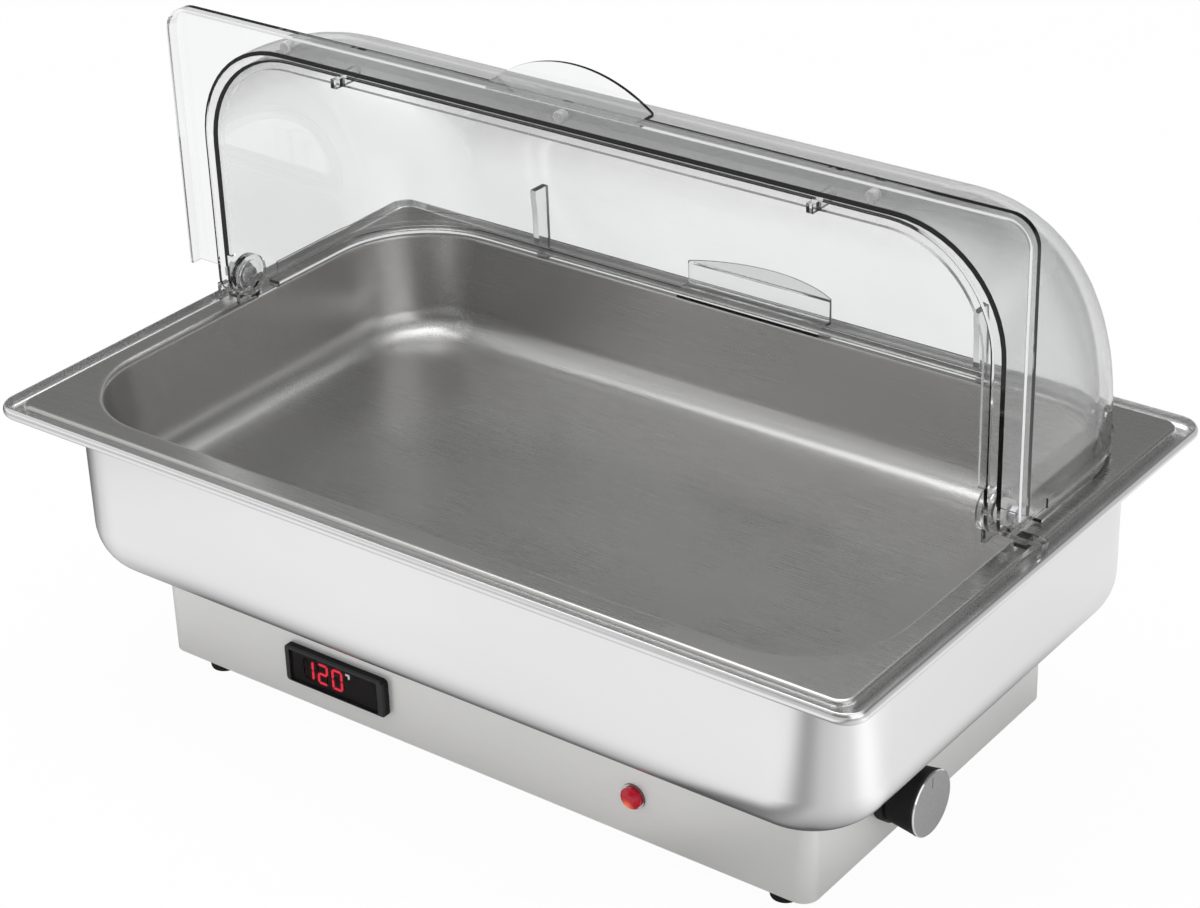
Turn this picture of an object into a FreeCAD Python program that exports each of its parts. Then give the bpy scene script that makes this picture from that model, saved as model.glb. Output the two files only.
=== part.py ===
import FreeCAD, Part
import math
import os
import Sketcher

# Electric chafing dish: a low heated base carries a water tub, a full-size food pan sits in the tub,
# and two clear quarter hoods share one hinge axis above the rim.
# X runs along the rim, Y from the front to the back, Z up. The origin is on the table under the
# middle of the tub. At rest the front hood is rolled back over the rear hood.

doc = FreeCAD.newDocument("chafing_dish")
sheet = doc.addObject("Spreadsheet::Sheet", "sizes")
nodes = []


class Size:
    """A length of the sheet, or one worked out from it: its formula and its number."""

    def __init__(self, formula, number):
        self.formula = formula
        self.number = float(number)

    def __add__(self, other):
        other = as_size(other)
        return Size(f"({self.formula} + {other.formula})", self.number + other.number)

    def __sub__(self, other):
        other = as_size(other)
        return Size(f"({self.formula} - {other.formula})", self.number - other.number)

    def __mul__(self, other):
        other = as_size(other)
        return Size(f"({self.formula} * {other.formula})", self.number * other.number)

    def __truediv__(self, other):
        other = as_size(other)
        return Size(f"({self.formula} / {other.formula})", self.number / other.number)

    def __radd__(self, other):
        return as_size(other) + self

    def __rsub__(self, other):
        return as_size(other) - self

    def __rmul__(self, other):
        return as_size(other) * self

    def __neg__(self):
        return 0 - self


def as_size(value):
    """The value itself if it is a Size, and otherwise a plain number as one."""
    if isinstance(value, Size):
        return value
    return Size(repr(float(value)), value)


def cell(name, number):
    """Writes one driving size into the sheet under its own name."""
    row = str(len(sheet_rows) + 1)
    sheet_rows.append(name)
    sheet.set("A" + row, name)
    sheet.set("B" + row, str(number))
    sheet.setAlias("B" + row, name)
    return Size("sizes." + name, number)


sheet_rows = []

# Food pan, whose flange has the standard full size
pan_length = cell("pan_length", 530)
pan_width = cell("pan_width", 325)
pan_corner = cell("pan_corner", 9)
pan_edge_round = cell("pan_edge_round", 2.5)
pan_flange_side = cell("pan_flange_side", 14)
pan_flange_front = cell("pan_flange_front", 16)
pan_body_corner = cell("pan_body_corner", 59)
pan_taper = cell("pan_taper", 5)
pan_depth = cell("pan_depth", 65)
pan_bend = cell("pan_bend", 20)
pan_lip_bend = cell("pan_lip_bend", 4)
pan_sheet = cell("pan_sheet", 0.8)
pan_body_length = pan_length - 2 * pan_flange_side
pan_body_width = pan_width - 2 * pan_flange_front

# Water tub and its rim
rim_margin_side = cell("rim_margin_side", 10)
rim_margin_front = cell("rim_margin_front", 8.5)
rim_corner = cell("rim_corner", 13)
lip_width = cell("lip_width", 1.8)
hem_width = cell("hem_width", 0.9)
hem_height = cell("hem_height", 3.7)
lip_round = cell("lip_round", 0.7)
ledge_depth = cell("ledge_depth", 5.5)
ledge_bend = cell("ledge_bend", 2.4)
tub_inset = cell("tub_inset", 20)
tub_corner = cell("tub_corner", 44)
tub_bend = cell("tub_bend", 30)
tub_depth = cell("tub_depth", 105.5)
tub_sheet = cell("tub_sheet", 0.8)
rim_length = pan_length + 2 * rim_margin_side
rim_width = pan_width + 2 * rim_margin_front
tub_length = rim_length - 2 * tub_inset
tub_width = rim_width - 2 * tub_inset

# Base housing and bottom plate
base_inset_side = cell("base_inset_side", 39.5)
base_inset_front = cell("base_inset_front", 34.5)
base_height = cell("base_height", 55.5)
base_corner = cell("base_corner", 9)
base_sheet = cell("base_sheet", 0.8)
base_flange = cell("base_flange", 12)
plate_inset = cell("plate_inset", 3)
vent_length = cell("vent_length", 60)
vent_width = cell("vent_width", 4)
vent_pitch = cell("vent_pitch", 12)
vent_spacing = cell("vent_spacing", 190)
base_length = tub_length - 2 * base_inset_side
base_width = tub_width - 2 * base_inset_front

# Feet and screws
foot_height = cell("foot_height", 12)
foot_top_radius = cell("foot_top_radius", 10)
foot_bottom_radius = cell("foot_bottom_radius", 8)
foot_inset_side = cell("foot_inset_side", 24.5)
foot_inset_front = cell("foot_inset_front", 16.5)
foot_bore_radius = cell("foot_bore_radius", 4.4)
foot_web = cell("foot_web", 4)
screw_radius = cell("screw_radius", 2)
screw_clearance = cell("screw_clearance", 0.08)
screw_head_radius = cell("screw_head_radius", 3.6)
screw_head_height = cell("screw_head_height", 2.4)
nut_radius = cell("nut_radius", 4)
nut_height = cell("nut_height", 3.2)
thread_length = cell("thread_length", 8)
tub_screw_spacing = cell("tub_screw_spacing", 300)
plate_screw_spacing = cell("plate_screw_spacing", 220)

# Heater under the tub
capillary_room = cell("capillary_room", 14)
heater_gap = cell("heater_gap", 3)
spreader_thickness = cell("spreader_thickness", 2)
element_radius = cell("element_radius", 3.25)
element_inset = cell("element_inset", 40)
element_pitch = cell("element_pitch", 50)
pin_radius = cell("pin_radius", 1.6)
pin_length = cell("pin_length", 12)
seat_gap = cell("seat_gap", 0.1)
clamp_inset = cell("clamp_inset", 30)
clamp_width = cell("clamp_width", 16)
clamp_thickness = cell("clamp_thickness", 1.5)
insulation_thickness = cell("insulation_thickness", 11)
shield_thickness = cell("shield_thickness", 0.6)
shield_lip = cell("shield_lip", 8)
stud_end = cell("stud_end", 2)
cutout_x = cell("cutout_x", 50)
cutout_radius = cell("cutout_radius", 7.5)
cutout_height = cell("cutout_height", 5)
cutout_flange = cell("cutout_flange", 1)
cutout_screw_spacing = cell("cutout_screw_spacing", 22)
cutout_screw_radius = cell("cutout_screw_radius", 1.25)

# Thermostat and knob on the right side
knob_y = cell("knob_y", -42)
knob_rise = cell("knob_rise", 28.5)
knob_radius = cell("knob_radius", 18.1)
knob_back_radius = cell("knob_back_radius", 15.8)
knob_length = cell("knob_length", 17)
knob_gap = cell("knob_gap", 1)
knob_wall = cell("knob_wall", 3)
cap_thickness = cell("cap_thickness", 1.5)
cap_round = cell("cap_round", 0.5)
pointer_length = cell("pointer_length", 6)
pointer_width = cell("pointer_width", 1.2)
pointer_depth = cell("pointer_depth", 0.4)
pointer_inset = cell("pointer_inset", 2.5)
shaft_radius = cell("shaft_radius", 3)
shaft_seat = cell("shaft_seat", 10)
shaft_flat = cell("shaft_flat", 0.8)
fit_clearance = cell("fit_clearance", 0.05)
collar_radius = cell("collar_radius", 16.8)
collar_thickness = cell("collar_thickness", 5)
collar_bore = cell("collar_bore", 5.6)
thermostat_width = cell("thermostat_width", 34)
thermostat_height = cell("thermostat_height", 34)
thermostat_depth = cell("thermostat_depth", 30)
thermostat_screw_spacing = cell("thermostat_screw_spacing", 24)
bulb_length = cell("bulb_length", 90)
bulb_y = cell("bulb_y", 10)
capillary_radius = cell("capillary_radius", 1)

# Display on the front
bezel_x = cell("bezel_x", -87.5)
bezel_rise = cell("bezel_rise", 25)
bezel_length = cell("bezel_length", 71)
bezel_height = cell("bezel_height", 23)
bezel_corner = cell("bezel_corner", 3)
bezel_depth = cell("bezel_depth", 4.5)
bezel_chamfer = cell("bezel_chamfer", 0.9)
window_x = cell("window_x", -88)
window_rise = cell("window_rise", 24.7)
window_length = cell("window_length", 62.6)
window_height = cell("window_height", 19.4)
window_thickness = cell("window_thickness", 1.2)
window_recess = cell("window_recess", 0.4)
window_ledge = cell("window_ledge", 1)
sleeve_wall = cell("sleeve_wall", 1)
sleeve_depth = cell("sleeve_depth", 7)
digit_height = cell("digit_height", 12.8)
digit_width = cell("digit_width", 7.4)
digit_pitch = cell("digit_pitch", 10.3)
digit_stroke = cell("digit_stroke", 1.2)
digit_gap = cell("digit_gap", 0.25)
digit_thickness = cell("digit_thickness", 0.6)
digit_shift = cell("digit_shift", -8.5)
digit_lift = cell("digit_lift", 0.4)
mark_size = cell("mark_size", 2.6)
board_thickness = cell("board_thickness", 1.6)

# Pilot lamp on the front
lamp_x = cell("lamp_x", 110)
lamp_rise = cell("lamp_rise", 25.2)
lamp_ring_radius = cell("lamp_ring_radius", 7.2)
lamp_ring_thickness = cell("lamp_ring_thickness", 1.2)
lamp_lens_radius = cell("lamp_lens_radius", 6.3)
lamp_lens_height = cell("lamp_lens_height", 4)
lamp_body_radius = cell("lamp_body_radius", 5.3)
lamp_body_length = cell("lamp_body_length", 26)
lamp_nut_radius = cell("lamp_nut_radius", 8.5)
lamp_nut_height = cell("lamp_nut_height", 3)

# Appliance inlet on the back
inlet_side_inset = cell("inlet_side_inset", 85.5)
inlet_rise = cell("inlet_rise", 24)
inlet_flange_length = cell("inlet_flange_length", 50)
inlet_flange_height = cell("inlet_flange_height", 24)
inlet_flange_thickness = cell("inlet_flange_thickness", 2.5)
inlet_body_length = cell("inlet_body_length", 30)
inlet_body_height = cell("inlet_body_height", 22)
inlet_body_depth = cell("inlet_body_depth", 24)
inlet_socket_length = cell("inlet_socket_length", 25)
inlet_socket_height = cell("inlet_socket_height", 17)
inlet_socket_depth = cell("inlet_socket_depth", 17)
inlet_screw_spacing = cell("inlet_screw_spacing", 40)
inlet_pin_spacing = cell("inlet_pin_spacing", 7)
inlet_pin_width = cell("inlet_pin_width", 4)
inlet_pin_thickness = cell("inlet_pin_thickness", 2)
inlet_pin_reach = cell("inlet_pin_reach", 13)
tab_length = cell("tab_length", 8)
inlet_x = base_length / 2 - inlet_side_inset

# Wiring inside the base
block_length = cell("block_length", 42)
block_width = cell("block_width", 18)
block_height = cell("block_height", 15)
block_shift = cell("block_shift", 20)
block_back_inset = cell("block_back_inset", 54.5)
terminal_pitch = cell("terminal_pitch", 13)
lead_radius = cell("lead_radius", 1.1)
lead_bend = cell("lead_bend", 5)
lead_hole = cell("lead_hole", 3.5)
capillary_bend = cell("capillary_bend", 4)
earth_shift = cell("earth_shift", 70)
earth_back_inset = cell("earth_back_inset", 21.5)
block_x = inlet_x - block_shift
block_y = base_width / 2 - block_back_inset
earth_x = inlet_x - earth_shift
earth_y = base_width / 2 - earth_back_inset

# Hoods
hood_wall = cell("hood_wall", 2)
hood_inset_side = cell("hood_inset_side", 16.5)
hood_inset_front = cell("hood_inset_front", 18)
hood_gap_side = cell("hood_gap_side", 5)
hood_gap_round = cell("hood_gap_round", 1.7)
hood_corner = cell("hood_corner", 60)
inner_edge = cell("inner_edge", 12.8)
inner_foot_gap = cell("inner_foot_gap", 0.4)
outer_edge = cell("outer_edge", 13)
ear_radius = cell("ear_radius", 12)
ear_notch = cell("ear_notch", 1.2)
foot_flange_width = cell("foot_flange_width", 8)
foot_flange_thickness = cell("foot_flange_thickness", 2)
foot_flange_start = cell("foot_flange_start", 28)
bead_width = cell("bead_width", 5.5)
bead_thickness = cell("bead_thickness", 3.4)
bead_start = cell("bead_start", 16)
frame_plate_foot = cell("frame_plate_foot", 13)
frame_plate_thickness = cell("frame_plate_thickness", 2)
frame_foot_gap = cell("frame_foot_gap", 0.5)
frame_lip_thickness = cell("frame_lip_thickness", 2)
frame_overhang = cell("frame_overhang", 5.5)
frame_corner = cell("frame_corner", 15)
frame_end = cell("frame_end", 8)
strip_height = cell("strip_height", 5.5)
strip_proud = cell("strip_proud", 1)
strip_start = cell("strip_start", 34)
peg_spacing = cell("peg_spacing", 300)
peg_width = cell("peg_width", 4)
peg_height = cell("peg_height", 5)
peg_back = cell("peg_back", 3)
peg_gap = cell("peg_gap", 1)
leg_back = cell("leg_back", 22)
leg_reach = cell("leg_reach", 12)
leg_gap = cell("leg_gap", 0.9)
handle_length = cell("handle_length", 97)
handle_top = cell("handle_top", 3)
handle_thickness = cell("handle_thickness", 2)
rear_handle_reach = cell("rear_handle_reach", 14)
front_handle_reach = cell("front_handle_reach", 16)
bumper_radius = cell("bumper_radius", 3.25)
bumper_spacing = cell("bumper_spacing", 183.5)
bumper_outset = cell("bumper_outset", 6.3)

# Hinges
side_gap = cell("side_gap", 0.3)
hinge_screw_radius = cell("hinge_screw_radius", 3)
hinge_head_radius = cell("hinge_head_radius", 5.2)
hinge_head_height = cell("hinge_head_height", 2.2)
hinge_nut_radius = cell("hinge_nut_radius", 5)
cross_slot_length = cell("cross_slot_length", 5.6)
cross_slot_width = cell("cross_slot_width", 1.1)
cross_slot_depth = cell("cross_slot_depth", 1)
washer_radius = cell("washer_radius", 7)
boss_radius = cell("boss_radius", 12.3)
boss_depth = cell("boss_depth", 2)
boss_recess_radius = cell("boss_recess_radius", 9)
cheek_thickness = cell("cheek_thickness", 2.5)
cheek_width = cell("cheek_width", 18)
strap_y = cell("strap_y", 4.8)
strap_width = cell("strap_width", 6)
strap_thickness = cell("strap_thickness", 2.5)
strap_rise = cell("strap_rise", 3.5)
strap_gap = cell("strap_gap", 1)
strap_foot_inset = cell("strap_foot_inset", 1)
strap_foot_length = cell("strap_foot_length", 7)
hook_gap = cell("hook_gap", 1.7)
hook_clearance = cell("hook_clearance", 0.6)

# Heights that several pieces share
base_z = foot_height
tub_z = base_z + base_height
rim_z = tub_z + tub_depth
ledge_z = rim_z - ledge_depth
hinge_rise = strap_rise + strap_thickness + strap_gap + ear_radius
axis_z = rim_z + hinge_rise
front_y = -(base_width / 2)
right_x = base_length / 2
plate_top = base_z
spreader_length = base_length - 2 * (
    base_sheet + thermostat_depth + capillary_room + shield_thickness + seat_gap
)
spreader_width = base_width - 2 * (
    base_sheet + inlet_body_depth + heater_gap + shield_thickness + seat_gap
)
element_run = spreader_length - 2 * element_inset
clamp_spacing = element_run / 2 - clamp_inset
spreader_z = tub_z - spreader_thickness
element_z = spreader_z - seat_gap - element_radius
clamp_z = element_z - element_radius - seat_gap - clamp_thickness
insulation_z = clamp_z - nut_height - seat_gap - insulation_thickness
shield_z = insulation_z - shield_thickness
screw_hole = screw_radius + screw_clearance

ALONG = {
    "x": FreeCAD.Rotation(FreeCAD.Vector(0, 1, 0), 90),
    "y": FreeCAD.Rotation(FreeCAD.Vector(1, 0, 0), -90),
    "z": FreeCAD.Rotation(),
}


def bind(thing, **sizes_by_property):
    """Ties properties of a feature to formulas of the sheet."""
    for name, value in sizes_by_property.items():
        thing.setExpression(name, as_size(value).formula)
    return thing


def place(thing, x=0, y=0, z=0, rotation=None):
    """Puts a feature at a point given by formulas."""
    if rotation is not None:
        thing.Placement = FreeCAD.Placement(FreeCAD.Vector(), rotation)
    for axis, value in (("x", x), ("y", y), ("z", z)):
        thing.setExpression("Placement.Base." + axis, as_size(value).formula)
    return thing


def block(length, width, height, x=0, y=0, z=0):
    """A box centred on x and y that stands on z."""
    box = bind(doc.addObject("Part::Box", "block"), Length=length, Width=width, Height=height)
    return place(box, x - length / 2, y - width / 2, z)


def rod(radius, length, x=0, y=0, z=0, along="z"):
    """A cylinder that starts at a point and runs along an axis."""
    cylinder = bind(doc.addObject("Part::Cylinder", "rod"), Radius=radius, Height=length)
    return place(cylinder, x, y, z, ALONG[along])


def cone(radius, end_radius, length, x=0, y=0, z=0, along="z"):
    """A cone frustum that starts at a point and runs along an axis."""
    frustum = doc.addObject("Part::Cone", "cone")
    bind(frustum, Radius1=radius, Radius2=end_radius, Height=length)
    return place(frustum, x, y, z, ALONG[along])


def join(*things):
    """One solid from several."""
    fused = doc.addObject("Part::MultiFuse", "joined")
    fused.Shapes = list(things)
    fused.Refine = True
    return fused


def less(base, *tools):
    """A solid with other solids taken away."""
    result = doc.addObject("Part::Cut", "cut")
    result.Base = base
    result.Tool = tools[0] if len(tools) == 1 else join(*tools)
    result.Refine = True
    return result


def common(first, second):
    """The space that two solids share."""
    shared = doc.addObject("Part::MultiCommon", "common")
    shared.Shapes = [first, second]
    return shared


def group(*things):
    """Separate solids kept together in one sub-part."""
    collection = doc.addObject("Part::Compound", "group")
    collection.Links = list(things)
    return collection


def node(name, thing):
    """Registers a finished sub-part under its own name."""
    thing.Label = name
    nodes.append(thing)
    return thing


def rounded_rectangle(sketch, length, width, radius):
    """Draws a centred rectangle with four round corners, held by its own constraints."""
    first = sketch.GeometryCount
    half_x = length.number / 2
    half_y = width.number / 2
    r = radius.number
    a = half_x - r
    b = half_y - r
    up = FreeCAD.Vector(0, 0, 1)

    def line(x0, y0, x1, y1):
        return Part.LineSegment(FreeCAD.Vector(x0, y0, 0), FreeCAD.Vector(x1, y1, 0))

    def arc(x, y, start):
        circle = Part.Circle(FreeCAD.Vector(x, y, 0), up, r)
        return Part.ArcOfCircle(circle, math.radians(start), math.radians(start + 90))

    bottom, right, top, left = first, first + 1, first + 2, first + 3
    arcs = [first + 4, first + 5, first + 6, first + 7]
    sketch.addGeometry(
        [
            line(-a, -half_y, a, -half_y),
            line(half_x, -b, half_x, b),
            line(a, half_y, -a, half_y),
            line(-half_x, b, -half_x, -b),
            arc(a, -b, -90),
            arc(a, b, 0),
            arc(-a, b, 90),
            arc(-a, -b, 180),
        ],
        False,
    )
    ring = [bottom, arcs[0], right, arcs[1], top, arcs[2], left, arcs[3]]
    rules = [Sketcher.Constraint("Tangent", g, 2, h, 1) for g, h in zip(ring, ring[1:] + ring[:1])]
    rules += [Sketcher.Constraint("Horizontal", g) for g in (bottom, top)]
    rules += [Sketcher.Constraint("Vertical", g) for g in (right, left)]
    rules += [Sketcher.Constraint("Equal", arcs[0], g) for g in arcs[1:]]
    rules.append(Sketcher.Constraint("Symmetric", arcs[0], 3, arcs[2], 3, -1, 1))
    sketch.addConstraint(rules)
    for kind, arguments, value in (
        ("DistanceX", (left, 1, right, 1), length),
        ("DistanceY", (bottom, 1, top, 2), width),
        ("Radius", (arcs[0],), radius),
    ):
        index = sketch.addConstraint(Sketcher.Constraint(kind, *arguments, value.number))
        sketch.setExpression(f"Constraints[{index}]", value.formula)


def free_sketch(z=0, rotation=None, x=0, y=0):
    """A sketch that stands by itself at a height, for plates and plain extrusions."""
    return place(doc.addObject("Sketcher::SketchObject", "outline"), x, y, z, rotation)


def extrude(sketch, length, direction):
    """A solid pulled from a sketch along a fixed direction."""
    solid = doc.addObject("Part::Extrusion", "extrusion")
    solid.Base = sketch
    solid.DirMode = "Custom"
    solid.Dir = direction
    solid.Solid = True
    bind(solid, LengthFwd=length)
    sketch.Visibility = False
    return solid


def slab(length, width, radius, z, height):
    """A flat plate with round corners, centred on the origin."""
    sketch = free_sketch(z)
    rounded_rectangle(sketch, length, width, radius)
    return extrude(sketch, height, FreeCAD.Vector(0, 0, 1))


def front_slab(length, height, radius, x, y, z, depth):
    """A plate with round corners that faces the front and runs back from y."""
    sketch = free_sketch(z, FreeCAD.Rotation(FreeCAD.Vector(1, 0, 0), 90), x, y)
    rounded_rectangle(sketch, length, height, radius)
    return extrude(sketch, depth, FreeCAD.Vector(0, 1, 0))


def new_body(name):
    """A body for a sub-part that is built up feature by feature."""
    return node(name, doc.addObject("PartDesign::Body", name))


def base_plane(body, role="XY_Plane"):
    """One of the body's own origin planes."""
    return [part for part in body.Origin.OriginFeatures if part.Role == role][0]


def outline(body, z, *rectangles):
    """A sketch of round-cornered rectangles in the body at a height."""
    sketch = body.newObject("Sketcher::SketchObject", "outline")
    sketch.AttachmentSupport = [(base_plane(body), "")]
    sketch.MapMode = "FlatFace"
    sketch.setExpression("AttachmentOffset.Base.z", as_size(z).formula)
    for rectangle in rectangles:
        rounded_rectangle(sketch, *rectangle)
    return sketch


def pad(body, z, height, *rectangles):
    """Adds material upward from a height."""
    feature = body.newObject("PartDesign::Pad", "pad")
    feature.Profile = outline(body, z, *rectangles)
    bind(feature, Length=height)
    return feature


def pocket(body, z, depth, *rectangles):
    """Takes material away downward from a height."""
    feature = body.newObject("PartDesign::Pocket", "pocket")
    feature.Profile = outline(body, z, *rectangles)
    bind(feature, Length=depth)
    doc.recompute()
    return feature


def loft(body, kind, lower_z, lower, upper_z, upper):
    """Joins two round-cornered rectangles at two heights, adding or taking material."""
    feature = body.newObject("PartDesign::" + kind, "loft")
    feature.Profile = outline(body, lower_z, lower)
    feature.Sections = [outline(body, upper_z, upper)]
    feature.Ruled = True
    return feature


def round_edges(body, radius, chosen):
    """Rounds the edges of the body that a test picks."""
    doc.recompute()
    tip = body.Tip
    names = [f"Edge{i}" for i, edge in enumerate(tip.Shape.Edges, 1) if chosen(edge.BoundBox)]
    feature = body.newObject("PartDesign::Fillet", "round")
    feature.Base = (tip, names)
    bind(feature, Radius=radius)
    return feature


def level(z, inside=None):
    """Picks flat edges at a height, if asked only those within a half length from the middle."""
    z = z.number

    def chosen(box):
        reach = max(abs(box.XMin), abs(box.XMax))
        if inside is not None and reach > inside.number + 0.01:
            return False
        return abs(box.ZMin - z) < 0.01 and abs(box.ZMax - z) < 0.01

    return chosen


def body_cut(body, kind, x, y, z, rotation=None, **sizes_by_property):
    """Takes a box or cylinder out of a body."""
    doc.recompute()
    before = body.Tip.Shape.Volume
    feature = body.newObject("PartDesign::Subtractive" + kind, "cut")
    bind(feature, **sizes_by_property)
    place(feature, x, y, z, rotation)
    doc.recompute()
    if not feature.Shape.Volume < before:
        raise RuntimeError(body.Label + ": a cut takes nothing away")
    return feature


def body_hole(body, radius, length, x, y, z, along="z"):
    """Drills a body along an axis from a point."""
    return body_cut(body, "Cylinder", x, y, z, ALONG[along], Radius=radius, Height=length)


def body_slot(body, length, width, height, x, y, z):
    """Takes a box out of a body, centred on x and y and standing on z."""
    return body_cut(
        body, "Box", x - length / 2, y - width / 2, z, Length=length, Width=width, Height=height
    )


# Places of the fasteners, as pairs of formulas
flange_line_x = right_x - base_sheet - (base_flange - base_sheet) / 2
flange_line_y = base_width / 2 - base_sheet - (base_flange - base_sheet) / 2
tub_screw_places = [
    (side_x * tub_screw_spacing / 2, side_y * flange_line_y) for side_x in (-1, 1) for side_y in (-1, 1)
]
tub_screw_places += [(side * flange_line_x, as_size(0)) for side in (-1, 1)]
plate_screw_places = [
    (side_x * plate_screw_spacing / 2, side_y * flange_line_y) for side_x in (-1, 1) for side_y in (-1, 1)
]
plate_screw_places += [(side * flange_line_x, as_size(0)) for side in (-1, 1)]
foot_places = [
    (side_x * (base_length / 2 - foot_inset_side), side_y * (base_width / 2 - foot_inset_front))
    for side_x in (-1, 1)
    for side_y in (-1, 1)
]
clamp_places = [step * clamp_spacing for step in (-1, 0, 1)]

# Water tub: one drawn sheet with a ledge for the pan and a hemmed lip
tub = new_body("water_tub")
pad(tub, tub_z, tub_depth - ledge_depth, (tub_length, tub_width, tub_corner))
pad(
    tub,
    ledge_z - tub_sheet,
    ledge_depth + tub_sheet,
    (rim_length - 2 * hem_width, rim_width - 2 * hem_width, rim_corner - hem_width),
)
pad(tub, rim_z - hem_height, hem_height, (rim_length, rim_width, rim_corner))
pocket(
    tub,
    rim_z,
    ledge_depth,
    (rim_length - 2 * lip_width, rim_width - 2 * lip_width, rim_corner - lip_width),
)
round_edges(tub, ledge_bend, level(ledge_z))
pocket(
    tub,
    ledge_z,
    tub_depth - ledge_depth - tub_sheet,
    (tub_length - 2 * tub_sheet, tub_width - 2 * tub_sheet, tub_corner - tub_sheet),
)
round_edges(tub, tub_bend - tub_sheet, level(tub_z + tub_sheet))
round_edges(tub, tub_bend, level(tub_z))
round_edges(tub, lip_round, level(rim_z))

# Food pan: flange with a turned-down edge, tapered body with a rounded bottom
pan = new_body("food_pan")
pan_floor_z = rim_z - pan_depth
pan_floor_length = pan_body_length - 2 * pan_taper
pan_floor_width = pan_body_width - 2 * pan_taper
pan_floor_corner = pan_body_corner - pan_taper
pad(pan, ledge_z, ledge_depth, (pan_length, pan_width, pan_corner))
pocket(
    pan,
    rim_z - pan_sheet,
    ledge_depth - pan_sheet,
    (pan_length - 2 * pan_sheet, pan_width - 2 * pan_sheet, pan_corner - pan_sheet),
)
round_edges(pan, pan_edge_round - pan_sheet, level(rim_z - pan_sheet))
round_edges(pan, pan_edge_round, level(rim_z))
loft(
    pan,
    "AdditiveLoft",
    pan_floor_z,
    (pan_floor_length, pan_floor_width, pan_floor_corner),
    rim_z - pan_sheet,
    (pan_body_length, pan_body_width, pan_body_corner),
)
loft(
    pan,
    "SubtractiveLoft",
    pan_floor_z + pan_sheet,
    (pan_floor_length - 2 * pan_sheet, pan_floor_width - 2 * pan_sheet, pan_floor_corner - pan_sheet),
    rim_z,
    (pan_body_length - 2 * pan_sheet, pan_body_width - 2 * pan_sheet, pan_body_corner - pan_sheet),
)
opening = pan_body_length / 2
round_edges(pan, pan_bend - pan_sheet, level(pan_floor_z + pan_sheet))
round_edges(pan, pan_bend, level(pan_floor_z))
round_edges(pan, pan_lip_bend - pan_sheet, level(rim_z - pan_sheet, opening))
round_edges(pan, pan_lip_bend, level(rim_z, opening))

# Base housing: a folded band with flanges turned in at the top and the bottom
base = new_body("base_housing")
band_length = base_length - 2 * base_sheet
band_width = base_width - 2 * base_sheet
flange_hole = (base_length - 2 * base_flange, base_width - 2 * base_flange, base_corner)
band = (base_length, base_width, base_corner)
pad(base, base_z, base_height, band, (band_length, band_width, base_corner - base_sheet))
pad(base, tub_z - base_sheet, base_sheet, band, flange_hole)
pad(base, base_z, base_sheet, band, flange_hole)
for x, y in tub_screw_places:
    body_hole(base, screw_hole, 2 * base_sheet, x, y, tub_z - 1.5 * base_sheet)
for x, y in plate_screw_places:
    body_hole(base, screw_hole, 2 * base_sheet, x, y, base_z - 0.5 * base_sheet)
knob_z = base_z + knob_rise
bezel_z = base_z + bezel_rise
window_z = base_z + window_rise
lamp_z = base_z + lamp_rise
inlet_z = base_z + inlet_rise
sleeve_length = window_length + 2 * sleeve_wall
sleeve_height = window_height + 2 * sleeve_wall
body_slot(
    base,
    sleeve_length + 2 * seat_gap,
    4 * base_sheet,
    sleeve_height + 2 * seat_gap,
    window_x,
    front_y,
    window_z - sleeve_height / 2 - seat_gap,
)
body_hole(
    base, lamp_body_radius + seat_gap, 4 * base_sheet, lamp_x, front_y - 2 * base_sheet, lamp_z, "y"
)
body_hole(base, collar_bore, 4 * base_sheet, right_x - 2 * base_sheet, knob_y, knob_z, "x")
for side in (-1, 1):
    body_hole(
        base,
        screw_hole,
        4 * base_sheet,
        right_x - 2 * base_sheet,
        knob_y,
        knob_z + side * thermostat_screw_spacing / 2,
        "x",
    )
    body_hole(
        base,
        screw_hole,
        4 * base_sheet,
        inlet_x + side * inlet_screw_spacing / 2,
        -front_y - 2 * base_sheet,
        inlet_z,
        "y",
    )
body_slot(
    base,
    inlet_body_length + 2 * seat_gap,
    4 * base_sheet,
    inlet_body_height + 2 * seat_gap,
    inlet_x,
    -front_y,
    inlet_z - inlet_body_height / 2 - seat_gap,
)

# Bottom plate with two groups of vent slots
plate_blank = slab(
    base_length - 2 * plate_inset,
    base_width - 2 * plate_inset,
    base_corner - plate_inset,
    plate_top - base_sheet,
    base_sheet,
)
plate_cuts = []
for side in (-1, 1):
    for step in (-2, -1, 0, 1, 2):
        plate_cuts.append(
            block(
                vent_length,
                vent_width,
                3 * base_sheet,
                side * vent_spacing / 2,
                step * vent_pitch,
                plate_top - 2 * base_sheet,
            )
        )
for x, y in plate_screw_places + foot_places + [(earth_x, earth_y)]:
    plate_cuts.append(rod(screw_hole, 3 * base_sheet, x, y, plate_top - 2 * base_sheet))
node("bottom_plate", less(plate_blank, *plate_cuts))


def screw(x, y, z, length, along="z", slot=True):
    """A pan-head screw whose head stands on z, with its shank running along the axis."""
    shift = {"x": (1, 0, 0), "y": (0, 1, 0), "z": (0, 0, 1)}[along]
    head_start = [p - q * screw_head_height for p, q in zip((x, y, z), shift)]
    head = rod(screw_head_radius, screw_head_height, *head_start, along)
    return join(head, rod(screw_radius, length, x, y, z, along))


def nut(x, y, z, along="z"):
    """A plain hexagon nut that starts at z."""
    blank = bind(doc.addObject("Part::Prism", "hexagon"), Circumradius=nut_radius, Height=nut_height)
    blank.Polygon = 6
    place(blank, x, y, z, ALONG[along])
    return less(blank, rod(screw_hole, nut_height, x, y, z, along))


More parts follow.
